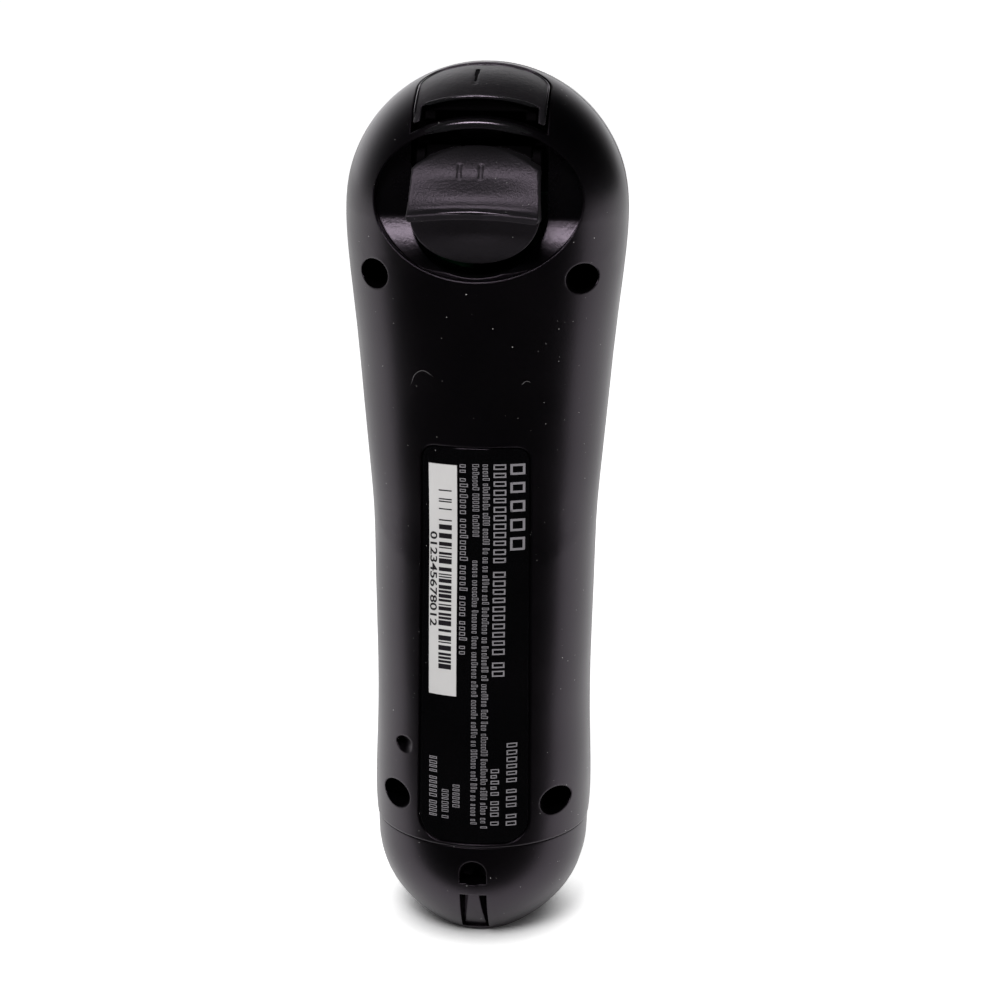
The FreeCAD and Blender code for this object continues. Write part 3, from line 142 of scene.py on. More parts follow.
# Sizes and depths in mm. What a look doesn't say for itself comes from this plain one.
plain = {"cloudSize": 14.0, "grainSize": 0.35, "grainStrength": 0.25, "grainDepth": 0.03, "edge": 0.12,
         "cast": purple, "dust": 0.0, "metal": 0.0, "shine": 0.5, "coat": 0.0}
looks = {
    # satin ABS, spark-eroded: nearly black, its grain spreads reflections into a soft edge glow
    "shell": dict(plain, name="moulded ABS satin", colours=("#020203", "#040304"), roughness=(0.28, 0.35),
                  dust=0.65, dustPitch=0.95, dustSize=0.08, edge=0.4),
    # smoother insert: the ramp mirrors the surroundings more tightly than the shell
    "bezel": dict(plain, name="moulded ABS semi-gloss", colours=("#030304", "#050506"),
                  roughness=(0.25, 0.31), grainSize=0.7, grainStrength=0.9, grainDepth=0.05, edge=0.3),
    # coarse texture under the finger: greyer, with a sparkle of tiny highlights
    "key": dict(plain, name="moulded ABS coarse texture", colours=("#1c1b1d", "#222123"),
                roughness=(0.34, 0.44), grainSize=0.3, grainStrength=1.0, grainDepth=0.08,
                dust=0.75, dustPitch=0.8, dustSize=0.07, edge=0.35),
    # edges that fingers rub: the same plastic without its texture and glossier, so they draw thin bright
    # lines; lighter than the shell, so on the recess rim it is a painted highlight
    "rubbedAndHighlight": dict(plain, name="moulded ABS rubbed smooth", colours=("#151516", "#1a1a1b"),
                   roughness=(0.13, 0.19), shine=0.9, grainStrength=0.5, grainDepth=0.04),
    # dead matt black for the frame seen in the shade of the recess; the triggers' insides and the switch
    # under the upper trigger take it as painted shade, so that nothing shines there
    "frame": dict(plain, name="plain moulded ABS", colours=("#030303", "#050505"), roughness=(0.8, 0.9),
                  shine=0.12),
    # polished mould: the ring round the stick has the sharpest reflections of the case
    "ring": dict(plain, name="moulded ABS gloss", colours=("#0a0a0b", "#0e0e0f"), roughness=(0.1, 0.16)),
    # moulded in a fine-grained tool: even and a little glossier than the case
    "button": dict(plain, name="moulded polycarbonate", colours=("#121214", "#161618"), roughness=(0.2, 0.3)),
    # soft and dry to the touch, so it shows almost no highlight
    "stick": dict(plain, name="soft-touch rubber", colours=("#131314", "#19191a"), roughness=(0.6, 0.75)),
    # flat glossy film: dark, with the clearest reflection on the grip
    "label": dict(plain, name="polycarbonate label film", colours=("#050506", "#070708"),
                  roughness=(0.09, 0.15), grainStrength=0.02, dust=0.3, dustPitch=1.5, dustSize=0.06,
                  edge=0.3),
    # coated paper: nearly white, barely shiny
    "sticker": dict(plain, name="white coated paper", colours=("#d2d1cf", "#dcdbd9"), roughness=(0.45, 0.55),
                    grainStrength=0.08),
    # ink on film and paper: matt and thin, grey on the label and black on the sticker
    "greyInk": dict(plain, name="grey screen ink", colours=("#807e81", "#8d8b8e"), roughness=(0.5, 0.6)),
    "blackInk": dict(plain, name="black thermal ink", colours=("#161617", "#1d1d1e"), roughness=(0.5, 0.6)),
    # grey fibres that scatter light
    "lint": dict(plain, name="lint and scuff", colours=("#5d5b5c", "#6d6b6c"), roughness=(0.8, 0.9)),
    # bright plating on the steel inside; the fixings seen from outside are the same steel painted near black:
    # painted shade down their holes and in the recess
    "steel": dict(plain, name="zinc-plated steel", colours=("#8d8f92", "#a5a7aa"), roughness=(0.28, 0.4),
                  metal=1.0),
    "shadedSteel": dict(plain, name="black-oxide steel", colours=("#0c0c0d", "#121213"), roughness=(0.45, 0.6),
                      metal=1.0),
    "tin": dict(plain, name="tin-plated steel", colours=("#a9a9a6", "#bdbdb9"), roughness=(0.25, 0.38),
                metal=1.0),
    # glass-filled housings of the switches: dark grey, dull
    "switch": dict(plain, name="moulded nylon", colours=("#262627", "#303032"), roughness=(0.45, 0.55)),
    # green lacquer over the laminate, smooth and shiny
    "board": dict(plain, name="solder mask on glass epoxy", colours=("#0d3b22", "#12492b"),
                  roughness=(0.25, 0.35)),
    # grey rubber sheet with a dry bloom
    "mat": dict(plain, name="silicone rubber", colours=("#8f8f92", "#9c9c9f"), roughness=(0.55, 0.7)),
    # cast lens over a lamp: deep red with a wet gloss; the guide in front of it is the same red, smoked
    "lamp": dict(plain, name="clear red epoxy", colours=("#8c1512", "#a31c18"), roughness=(0.12, 0.2),
                 coat=0.5),
    "guide": dict(plain, name="smoked polycarbonate", colours=("#5a1714", "#651c18"), roughness=(0.1, 0.18),
                  coat=0.4),
    # transfer-moulded package, matt from its mould
    "chip": dict(plain, name="black epoxy", colours=("#131313", "#191919"), roughness=(0.5, 0.6)),
    # amber film of the flat link, shiny on both faces
    "link": dict(plain, name="polyimide film", colours=("#a3621a", "#b56f22"), roughness=(0.2, 0.3)),
    # foil pouch under a tight sleeve: grey with a soft sheen
    "cell": dict(plain, name="shrink-wrapped foil", colours=("#5b5f6b", "#666a76"), roughness=(0.35, 0.5)),
    # small moulded plug, and the red cover of its wire
    "plug": dict(plain, name="cream nylon", colours=("#d8d0b8", "#e2dac4"), roughness=(0.4, 0.5)),
    "lead": dict(plain, name="silicone wire cover", colours=("#9a1512", "#a81c18"), roughness=(0.4, 0.5)),
}
materials = {slotName: surfaceMaterial(look) for slotName, look in looks.items()}
print("materials:", len(materials))


def dress(piece, slotName, look=None):
    # The slot's own material, or another look that the same slot may take
    piece.data.materials.clear()
    piece.data.materials.append(materials[look or slotName])


# Painted shade: fixings seen down their holes and in the recess are painted near-black steel, and the switch
# under the upper trigger takes the dark frame look
paintedShadeLooks = {"case_screws": "shadedSteel", "lower_trigger_pin": "shadedSteel", "upper_trigger_pin": "shadedSteel",
            "frame_screws": "shadedSteel", "upper_trigger_switch": "frame"}
for nodeName, node in nodes.items():
    dress(node, slotOf[nodeName], paintedShadeLooks.get(nodeName))

# Outside of the body in mm: half width, trigger-side depth and thumb-side depth at each height, dome and tail
bodyShape = {
    "seam": 17.6, "domeHeight": 116.5, "domeRadius": 21.5, "domeBack": 20.6, "fullness": 2.5,
    "heights": (17.6, 25.0, 38.0, 58.0, 80.0, 100.0, 116.5),
    "halfWidths": (17.2, 17.4, 17.05, 17.35, 18.5, 20.25, 21.5),
    "backs": (17.0, 17.2, 16.9, 16.5, 17.0, 19.3, 20.6),
    "fronts": (15.0, 15.2, 15.0, 15.0, 15.6, 16.1, 16.4),
}
tailShape = {"base": 8.0, "baseBack": 9.5, "step": 0.16, "curve": 2.8, "soften": 0.95}
recess = {"height": 119.15, "halfWidth": 15.4, "halfHeight": 11.05}
upperKey = {"forward": 1.2, "sink": 0.35}   # its face is the dome moved towards the finger and down


def ramp(start, end, values):
    # 0 at the start, 1 at the end, straight between them
    return np.clip((values - start) / (end - start), 0, 1)


def smoothStep(start, end, values):
    # t^2 (3 - 2t) on the ramp from start to end
    t = ramp(start, end, values)
    return t * t * (3 - 2 * t)


def smoothThrough(heights, values, at):
    # Cubic Hermite through the stations, slope at each one from its two neighbours
    x, y = np.array(heights), np.array(values)
    slope = np.gradient(y, x)
    i = np.clip(np.searchsorted(x, at) - 1, 0, len(x) - 2)
    span = x[i + 1] - x[i]
    t = np.clip((at - x[i]) / span, 0, 1)
    return ((2 * t**3 - 3 * t**2 + 1) * y[i] + (t**3 - 2 * t**2 + t) * span * slope[i]
            + (3 * t**2 - 2 * t**3) * y[i + 1] + (t**3 - t**2) * span * slope[i + 1])


def bodySides(z):
    # Half width, back and front depth at height z in mm: stations, then a dome; a rounded tail below the seam
    shape, tail = bodyShape, tailShape
    rise = np.clip((z - shape["domeHeight"]) / shape["domeRadius"], 0, 0.99999)
    share = np.sqrt(1 - rise**2)
    grown = 1 - np.clip(1 - z / shape["seam"], 0, 1) ** tail["curve"]
    grown = np.clip(grown, 0, 1) ** tail["soften"]
    sides = []
    for key in ("halfWidths", "backs", "fronts"):
        inSpan = np.clip(z, shape["seam"], shape["domeHeight"])
        above = smoothThrough(shape["heights"], shape[key], inSpan) * share
        base = tail["baseBack"] if key == "backs" else tail["base"]
        below = base + (shape[key][0] - tail["step"] - base) * grown
        sides.append(np.where(z < shape["seam"] - 0.05, below, above))
    return sides


def backDepth(x, z, proud=0.0):
    # Trigger side drawn out by proud: y = -(depth + proud) * sqrt(1 - (x / (width + proud))^2)
    width, back, front = bodySides(z)
    return -(back + proud) * np.sqrt(np.clip(1 - (x / (width + proud)) ** 2, 0, 1))


def outsideLevel(points):
    # (|x|/width)^p + (|y|/depth)^p, brought to the first power: 1 on the outside, p is 2 on the trigger side
    x, y, z = points.T
    width, back, front = bodySides(z)
    depth = np.where(y < 0, back, front)
    power = np.where(y < 0, 2.0, bodyShape["fullness"])
    return ((np.abs(x) / width) ** power + (np.abs(y) / depth) ** power) ** (1 / power)


def outsideNormals(points):
    # Unit gradient of the level, by differences of a hundredth of a millimetre
    step = 0.01
    parts = []
    for axis in range(3):
        shift = np.zeros(3)
        shift[axis] = step
        parts.append((outsideLevel(points + shift) - outsideLevel(points - shift)) / (2 * step))
    gradient = np.stack(parts, axis=1)
    length = np.linalg.norm(gradient, axis=1, keepdims=True)
    return gradient / np.maximum(length, 1e-12)


def readRows(items, name):
    # One vector of every vertex, face or corner, a row each
    values = np.empty(len(items) * 3)
    items.foreach_get(name, values)
    return values.reshape(-1, 3)


def readWhole(items, name):
    # One whole number of every face or corner
    values = np.empty(len(items), np.int32)
    items.foreach_get(name, values)
    return values


def setSpots(mesh, spots):
    # Vertices from mm into the mesh's metres
    mesh.vertices.foreach_set("co", (spots * mm).reshape(-1))


def evaluated(piece):
    # New mesh of the piece with its modifiers applied
    bpy.context.view_layer.update()
    graph = bpy.context.evaluated_depsgraph_get()
    return bpy.data.meshes.new_from_object(piece.evaluated_get(graph))


def cadCopy(nodeName, sharpAngle):
    # Merged copy of a CAD mesh, smooth but for edges over the angle; stored normals no longer fit and go
    source = nodes[nodeName]
    mesh = source.data.copy()
    piece = bpy.data.objects.new(nodeName + "_skin", mesh)
    bpy.context.scene.collection.objects.link(piece)
    work = bmesh.new()
    work.from_mesh(mesh)
    bmesh.ops.remove_doubles(work, verts=work.verts, dist=2e-7)
    work.to_mesh(mesh)
    work.free()
    stored = mesh.attributes.get("custom_normal")
    if stored:
        mesh.attributes.remove(stored)
    mesh.shade_smooth()
    mesh.set_sharp_from_angle(angle=math.radians(sharpAngle))
    mesh.update()
    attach(piece, source["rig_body"])
    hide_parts(nodeName)
    dress(piece, slotOf[nodeName])
    return piece


def smoothOutside(piece, reach):
    # Corners within reach of the body's outside take its true normal, all others keep the mesh's own
    mesh = piece.data
    owners = readWhole(mesh.loops, "vertex_index")
    spots = readRows(mesh.vertices, "co") / mm
    facing = np.repeat(readRows(mesh.polygons, "normal"), readWhole(mesh.polygons, "loop_total"), axis=0)
    own = readRows(mesh.corner_normals, "vector")
    distance = np.abs(outsideLevel(spots) - 1) * np.linalg.norm(spots[:, :2], axis=1)
    true = outsideNormals(spots)
    near = (distance < reach)[owners]
    same = (facing * true[owners]).sum(axis=1) > 0.9
    chosen = np.where((near & same)[:, None], true[owners], own)
    mesh.normals_split_custom_set(chosen.tolist())
    print(piece.name, "corners on the outside:", int((near & same).sum()), "of", len(mesh.loops))


skinAngles = {"case": 32, "fittings": 28, "reach": 0.25}
for nodeName in ("rear_shell", "front_shell", "tail_cap"):
    smoothOutside(cadCopy(nodeName, skinAngles["case"]), skinAngles["reach"])
for nodeName in ("trigger_bezel", "label_plate", "stick_cap", "stick_ring"):
    cadCopy(nodeName, skinAngles["fittings"])

matForm = {"domeHeight": 1.4, "kept": 0.25}


def lowKeyMat():
    # Key mat with low domes: y keeps a quarter of its height over the sheet, room for the keys at full press
    mesh = cadCopy("key_mat", skinAngles["fittings"]).data
    spots = readRows(mesh.vertices, "co") / mm
    sheetFront = spots[:, 1].max() - matForm["domeHeight"]
    spots[:, 1] -= np.maximum(spots[:, 1] - sheetFront, 0) * (1 - matForm["kept"])
    setSpots(mesh, spots)
    mesh.update()


lowKeyMat()

# The triggers in mm: melt is how often the edges are smoothed, still the radius round the pin that keeps its
# shape; a bar is its middle x, its middle along the face, half its length and half its width
lowerForm = {
    "cell": 0.14, "melt": 7, "pin": (-12.0, 124.9), "still": 2.6,
    "halfWidth": 9.6, "scoop": 1.2, "scoopSpan": (125.0, 119.0), "skirtSpan": (111.5, 116.5),
    "faceSpan": (-17.3, -19.8), "groove": 0.26, "grooveHeight": 118.6, "grooveWidth": 0.3,
    "grooveSpan": (-20.0, -21.0), "arch": 0.4, "archSpan": (121.5, 118.0), "archFoot": (113.0, 116.5),
    "frontSpan": (-19.0, -20.0),
    "cornerRadius": 0.8, "lipFoot": 117.05, "cornerSpan": (116.6, 116.9),
    "engrave": 0.15, "barAxis": 2, "bars": [(-2.3, 123.95, 1.0, 0.26), (0.8, 123.95, 1.0, 0.26)],
}
upperForm = {
    "cell": 0.14, "melt": 14, "pin": (1.5, 129.8), "still": 3.2,
    "engrave": 0.12, "barAxis": 1, "bars": [(-1.0, -7.6, 2.4, 0.3)],
}


def scoopFace(spots):
    # Finger scoop: y moves in by scoop * (1 - (x/w)^2), full at the lip, none at the pin and the skirt's foot
    # and by groove * exp(-((z - height)/width)^2); z rises by arch * (1 - (x/w)^2) towards the lip
    form = lowerForm
    x, y, z = spots.T
    outward = np.clip(np.abs(x) / form["halfWidth"], 0, 1)
    across = 1 - outward ** 2
    reach = smoothStep(*form["scoopSpan"], z) * smoothStep(*form["skirtSpan"], z) * ramp(*form["faceSpan"], y)
    dip = form["groove"] * np.exp(-((z - form["grooveHeight"]) / form["grooveWidth"]) ** 2)
    dip = dip * (1 - outward ** 4) * ramp(*form["grooveSpan"], y)
    front = ramp(*form["frontSpan"], y)
    moved = spots.copy()
    moved[:, 1] += form["scoop"] * across * reach + dip
    risen = smoothStep(*form["archSpan"], z) * smoothStep(*form["archFoot"], z)
    moved[:, 2] += form["arch"] * across * risen * front
    # round lip corners: half width falls by r - sqrt(r^2 - (r - h)^2), h the height above the lip's foot
    r = form["cornerRadius"]
    h = np.clip(z - form["lipFoot"], 0, r)
    fall = (r - np.sqrt(np.clip(r * r - (r - h) ** 2, 0, None))) * front * smoothStep(*form["cornerSpan"], z)
    moved[:, 0] *= 1 - fall / form["halfWidth"]
    return moved


def lowerOuter(spots):
    # 1 in front of the lower trigger's hinge, 0 behind it
    return smoothStep(-13.0, -13.2, spots[:, 1])


def upperOuter(spots):
    # 1 on the upper trigger's face, 0 under it: the body's level after the face is moved back onto the dome
    onDome = spots + np.array([0, upperKey["forward"], upperKey["sink"]])
    return smoothStep(0.955, 0.965, outsideLevel(onDome))


def pinFreedom(spots, form):
    # 0 within the still radius of the pin, 1 from 0.6 mm farther out
    fromPin = np.hypot(spots[:, 1] - form["pin"][0], spots[:, 2] - form["pin"][1])
    return ramp(form["still"], form["still"] + 0.6, fromPin)


def meltEdges(piece, free, times):
    # Repeated averaging with the neighbours, each vertex by its freedom in four steps
    group = piece.vertex_groups.new(name="free")
    for share in range(1, 5):
        inside = np.nonzero(np.ceil(free * 4) == share)[0]
        group.add(inside.tolist(), share / 4, "REPLACE")
    melt = piece.modifiers.new("melt", "SMOOTH")
    melt.factor = 0.5
    melt.iterations = times
    melt.vertex_group = "free"
    piece.data = evaluated(piece)
    piece.modifiers.clear()


def pressBars(mesh, form, outer):
    # Engraved bars: vertices within a bar's outline sink along their normals, its walls slope over 0.22 mm
    spots = readRows(mesh.vertices, "co") / mm
    normals = readRows(mesh.vertices, "normal")
    mark = np.zeros(len(spots))
    for barX, barMiddle, halfLong, halfWide in form["bars"]:
        aside = np.abs(spots[:, 0] - barX) - halfWide
        along = np.abs(spots[:, form["barAxis"]] - barMiddle) - halfLong
        mark = np.maximum(mark, 1 - smoothStep(-0.1, 0.12, np.maximum(aside, along)))
    setSpots(mesh, spots - normals * (mark * outer(spots) * form["engrave"])[:, None])


def softTrigger(nodeName, form, outer, reshape=None):
    # Even mesh of small cells from the CAD piece, edges melted, bars pressed in, its inside painted dark with
    # the frame look: painted shade
    piece = cadCopy(nodeName, 180)
    remesh = piece.modifiers.new("cells", "REMESH")
    remesh.mode = "VOXEL"
    remesh.voxel_size = form["cell"] * mm
    piece.data = evaluated(piece)
    piece.modifiers.clear()
    spots = readRows(piece.data.vertices, "co") / mm
    if reshape:
        setSpots(piece.data, reshape(spots))
    meltEdges(piece, pinFreedom(spots, form), form["melt"])
    mesh = piece.data
    pressBars(mesh, form, outer)
    mesh.shade_smooth()
    dress(piece, slotOf[nodeName])
    # faces behind the trigger's face get the dark frame look: painted shade where its inside lies in shade
    mesh.materials.append(materials["frame"])
    shaded = outer(readRows(mesh.polygons, "center") / mm) < 0.5
    mesh.polygons.foreach_set("material_index", shaded.astype(np.int32))
    mesh.update()
    print(piece.name, "vertices:", len(mesh.vertices))


softTrigger("lower_trigger", lowerForm, lowerOuter, scoopFace)
softTrigger("upper_trigger", upperForm, upperOuter)
print("skins done")


def meshPiece(name, spots, cells, body, slotName, look=None):
    # New piece from vertices in mm and lists of their numbers
    mesh = bpy.data.meshes.new(name)
    mesh.from_pydata((spots * mm).tolist(), [], cells)
    mesh.shade_smooth()
    piece = bpy.data.objects.new(name, mesh)
    bpy.context.scene.collection.objects.link(piece)
    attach(piece, body)
    dress(piece, slotName, look)
    return piece


printStart = 0.5   # print is drawn this far outside the body, then laid on


def layOn(piece, targetName):
    # Each vertex slides along Y onto the target's face and stands a little proud of it
    wrap = piece.modifiers.new("wrap", "SHRINKWRAP")
    wrap.target = bpy.data.objects[targetName]
    wrap.wrap_method = "PROJECT"
    wrap.use_project_y = True
    wrap.use_negative_direction = True
    wrap.use_positive_direction = True
    wrap.offset = 0.02 * mm
    piece.data = evaluated(piece)
    piece.modifiers.clear()


def inkMarks(name, marks, slotName, look, targetName):
    # Each mark is low x, high x, low z, high z in mm, laid on the target as a strip of four by two cells
    marks = np.array(marks)
    across, along = np.linspace(0, 1, 5), np.linspace(0, 1, 3)
    x = marks[:, 0, None, None] + (marks[:, 1] - marks[:, 0])[:, None, None] * across[None, :, None]
    z = marks[:, 2, None, None] + (marks[:, 3] - marks[:, 2])[:, None, None] * along[None, None, :]
    x, z = np.broadcast_arrays(x, z)
    spots = np.stack([x, backDepth(x, z, printStart), z], axis=-1).reshape(-1, 3)
    i, j = np.meshgrid(np.arange(4), np.arange(2), indexing="ij")
    first = (i * 3 + j).reshape(-1)
    cells = np.stack([first, first + 3, first + 4, first + 1], axis=1)
    cells = (cells[None] + 15 * np.arange(len(marks))[:, None, None]).reshape(-1, 4)
    layOn(meshPiece(name, spots, cells.tolist(), "root", slotName, look), targetName)
    print(name, "marks:", len(marks))


def blockRow(row, chance):
    # Words of hollow blocks down a row: foot is their low x, tall their height, pitch their spacing, in mm,
    # capitals the share of blocks at full height, run the least number in a word and one over the most
    marks = []
    z = row["top"]
    while z - row["pitch"] > row["bottom"]:
        for block in range(int(chance.integers(*row.get("run", (2, 9))))):
            if z - row["pitch"] < row["bottom"]:
                break
            wide = row["pitch"] * chance.uniform(0.55, 0.72)
            tall = row["tall"] * (1.0 if chance.random() < row["capitals"] else 0.74)
            line = row["line"]
            foot, low = row["foot"], z - wide
            marks += [(foot, foot + tall, z - line, z), (foot, foot + tall, low, low + line),
                      (foot, foot + line, low, z), (foot + tall - line, foot + tall, low, z)]
            z -= row["pitch"]
        z -= row["pitch"] * 0.6
    return marks


# Print on the label and sticker: rows of hollow blocks, plain bars and digits
printRows = [
    {"foot": 5.3, "tall": 2.2, "line": 0.36, "pitch": 2.95, "top": 79.9, "bottom": 64.6, "capitals": 1.0,
     "run": (5, 6)},
    {"foot": 2.8, "tall": 1.9, "line": 0.22, "pitch": 1.36, "top": 79.9, "bottom": 44.6, "capitals": 1.0,
     "run": (10, 13)},
    {"foot": 1.2, "tall": 1.05, "line": 0.1, "pitch": 0.55, "top": 79.9, "bottom": 20.7, "capitals": 0.3},
    {"foot": -0.35, "tall": 1.0, "line": 0.1, "pitch": 0.62, "top": 79.9, "bottom": 67.5, "capitals": 0.8},
    {"foot": -0.35, "tall": 1.0, "line": 0.1, "pitch": 0.55, "top": 64.5, "bottom": 20.7, "capitals": 0.3},
    {"foot": -2.3, "tall": 1.25, "line": 0.14, "pitch": 0.86, "top": 79.8, "bottom": 48.4, "capitals": 0.25},
    {"foot": 5.15, "tall": 1.6, "line": 0.19, "pitch": 1.16, "top": 35.0, "bottom": 20.6, "capitals": 1.0},
    {"foot": 2.75, "tall": 1.3, "line": 0.16, "pitch": 0.95, "top": 30.8, "bottom": 21.0, "capitals": 0.9},
    {"foot": -3.2, "tall": 1.1, "line": 0.11, "pitch": 0.66, "top": 28.0, "bottom": 23.6, "capitals": 1.0},
    {"foot": -4.95, "tall": 1.1, "line": 0.11, "pitch": 0.66, "top": 27.0, "bottom": 21.6, "capitals": 1.0},
    {"foot": -7.0, "tall": 1.25, "line": 0.13, "pitch": 0.72, "top": 32.2, "bottom": 21.3, "capitals": 1.0},
]
chance = np.random.default_rng(12)
greyMarks = [mark for row in printRows for mark in blockRow(row, chance)]
inkMarks("label_print", greyMarks, "label", "greyInk", "label_plate_skin")

barCode = {"left": -5.56, "right": -3.54, "low": 47.1, "high": 75.5, "module": 0.2, "thinEnd": 5, "thin": 0.3}


def stickerBars(chance):
    # Bars across the strip, one to four modules thick; near the top only the thin ones are printed
    bars, z = [], barCode["high"]
    while z > barCode["low"]:
        thick = barCode["module"] * int(chance.choice([1, 1, 2, 2, 3, 4]))
        if z < barCode["high"] - barCode["thinEnd"] or thick < barCode["thin"]:
            bars.append((barCode["left"], barCode["right"], z - thick, z))
        z -= thick + barCode["module"] * int(chance.choice([1, 1, 2, 3]))
    inkMarks("sticker_bars", bars, "sticker", "blackInk", "serial_sticker")


digits = {"text": "012345678012", "heavier": 0.02, "foot": -6.95, "tall": 1.12, "top": 68.6, "bottom": 53.6}


def stickerDigits():
    # Digits as flat faces, their width stretched down from top to bottom, their height across from the foot
    curve = bpy.data.curves.new("digits", "FONT")
    curve.body = digits["text"]
    curve.offset = digits["heavier"]
    writer = bpy.data.objects.new("writer", curve)
    bpy.context.scene.collection.objects.link(writer)
    bpy.context.view_layer.update()
    written = bpy.data.meshes.new_from_object(writer)
    bpy.data.objects.remove(writer)
    flat = readRows(written.vertices, "co")
    flat -= flat.min(axis=0)
    flat /= flat.max(axis=0).clip(1e-9)
    x = digits["foot"] + flat[:, 1] * digits["tall"]
    z = digits["top"] - flat[:, 0] * (digits["top"] - digits["bottom"])
    cells = [list(face.vertices) for face in written.polygons]
    spots = np.stack([x, backDepth(x, z, printStart), z], axis=1)
    piece = meshPiece("sticker_digits", spots, cells, "root", "sticker", "blackInk")
    piece.data.shade_flat()
    layOn(piece, "serial_sticker")


stickerBars(chance)
stickerDigits()
print("print done")


def roundBar(name, path, radii, body, slotName, look):
    # Ten-sided bar along a path in mm: rings across the direction of travel, closed with a point at each end
    ahead = np.gradient(path, axis=0)
    ahead /= np.linalg.norm(ahead, axis=1, keepdims=True)
    sideways = np.cross(ahead, (0.0, 0.3, 1.0))
    sideways /= np.linalg.norm(sideways, axis=1, keepdims=True)
    upward = np.cross(sideways, ahead)
    sides = 10
    angle = np.linspace(0, 2 * np.pi, sides, endpoint=False)[None, :, None]
    ring = sideways[:, None] * np.cos(angle) + upward[:, None] * np.sin(angle)
    spots = (path[:, None] + ring * radii[:, None, None]).reshape(-1, 3)
    spots = np.concatenate([spots, path[:1], path[-1:]])
    rings = len(path)
    i, j = np.meshgrid(np.arange(rings - 1), np.arange(sides), indexing="ij")
    here, beside = (i * sides + j).reshape(-1), (i * sides + (j + 1) % sides).reshape(-1)
    walls = np.stack([here, here + sides, beside + sides, beside], axis=1)
    around = np.arange(sides)
    onward = (around + 1) % sides
    lastRing, startPoint = (rings - 1) * sides, np.full(sides, rings * sides)
    startCap = np.stack([startPoint, around, onward], axis=1)
    endCap = np.stack([startPoint + 1, onward + lastRing, around + lastRing], axis=1)
    return meshPiece(name, spots, walls.tolist() + startCap.tolist() + endCap.tolist(), body, slotName, look)


def tapered(count, radius, share):
    # Radius along a bar: full in the middle, falling to almost nothing over the given share at each end
    t = np.linspace(0, 1, count)
    return radius * (0.03 + 0.97 * smoothStep(0, share, np.minimum(t, 1 - t)))


# Rounded rims in mm: each stands just out of the face that carries it and draws its thin bright line
upperLip = {"halfLength": 8.6, "margin": 3.8, "inset": 0.14, "lift": 0.02, "radius": 0.3, "taper": 0.06}


def upperLipBead():
    # Along the upper trigger's lip: an oval by the margin larger than the recess, on the trigger's moved face
    x = np.linspace(-upperLip["halfLength"], upperLip["halfLength"], 41)
    wide, high = recess["halfWidth"] + upperLip["margin"], recess["halfHeight"] + upperLip["margin"]
    z = recess["height"] + high * np.sqrt(1 - (x / wide) ** 2)
    y = backDepth(x, z + upperKey["sink"]) - upperKey["forward"] + upperLip["inset"]
    path = np.stack([x, y, z + upperLip["lift"]], axis=1)
    radii = tapered(len(path), upperLip["radius"], upperLip["taper"])
    roundBar("upper_lip_bead", path, radii, "upper_trigger", "key", "rubbedAndHighlight")


upperRim = {"halfWidth": 9.52, "corner": 4.0, "rearEdge": -1.97, "legEnd": -13.4, "sunk": 0.12,
            "radius": 0.22, "taper": 0.06}


def upperRimBead():
    # Round the upper trigger's face: in plan straight legs, quarter circles, a rear edge, raised to the dome:
    # z = height + r * sqrt(1 - (x/r)^2 - ((y + forward)/back)^2) - sink; one half, then its mirror image
    rim, corner, rise = upperRim, upperRim["corner"], bodyShape["domeRadius"]
    sweep = np.radians(np.linspace(0, 90, 13))
    middle = rim["rearEdge"] - corner
    side = np.stack([np.full(22, rim["halfWidth"]), np.linspace(rim["legEnd"], middle - 0.3, 22)], axis=1)
    inner = rim["halfWidth"] - corner
    bend = np.stack([inner + corner * np.cos(sweep), middle + corner * np.sin(sweep)], axis=1)
    rear = np.stack([np.linspace(inner - 0.4, 0.2, 9), np.full(9, rim["rearEdge"])], axis=1)
    x, y = np.concatenate([side, bend, rear]).T
    level = 1 - (x / rise) ** 2 - ((y + upperKey["forward"]) / bodyShape["domeBack"]) ** 2
    z = bodyShape["domeHeight"] + rise * np.sqrt(level) - upperKey["sink"] - rim["sunk"]
    path = np.stack([x, y, z], axis=1)
    path = np.concatenate([path, path[::-1] * (-1, 1, 1)])
    radii = tapered(len(path), rim["radius"], rim["taper"])
    roundBar("upper_rim_bead", path, radii, "upper_trigger", "key", "rubbedAndHighlight")


crest = {"halfLength": 6.2, "front": -23.1, "height": 118.12, "radius": 0.36, "taper": 0.5}


def lowerCrestBead():
    # On the lower trigger's lip: y and z follow its scoop and arch, both times 1 - (x/w)^2
    x = np.linspace(-crest["halfLength"], crest["halfLength"], 41)
    across = 1 - (x / lowerForm["halfWidth"]) ** 2
    y, z = crest["front"] + lowerForm["scoop"] * across, crest["height"] + lowerForm["arch"] * across
    path = np.stack([x, y, z], axis=1)
    radii = tapered(len(path), crest["radius"], crest["taper"])
    roundBar("lower_crest_bead", path, radii, "lower_trigger", "key", "rubbedAndHighlight")


recessRim = {"turns": (48, 132), "inset": 0.6, "lift": 0.2, "radius": 0.7, "taper": 0.3}


def recessRimBead():
    # Upper edge of the oval recess, between two turns of its ellipse; lighter than the shell round it, a
    # painted highlight
    turn = np.radians(np.linspace(*recessRim["turns"], 61))
    x = recess["halfWidth"] * np.cos(turn)
    z = recess["height"] + recess["halfHeight"] * np.sin(turn)
    path = np.stack([x, backDepth(x, z) + recessRim["inset"], z + recessRim["lift"]], axis=1)
    radii = tapered(len(path), recessRim["radius"], recessRim["taper"])
    roundBar("recess_rim_bead", path, radii, "root", "shell", "rubbedAndHighlight")


partingLip = {"foot": 17.9, "top": 116.0, "inset": 0.5, "radius": 0.32}


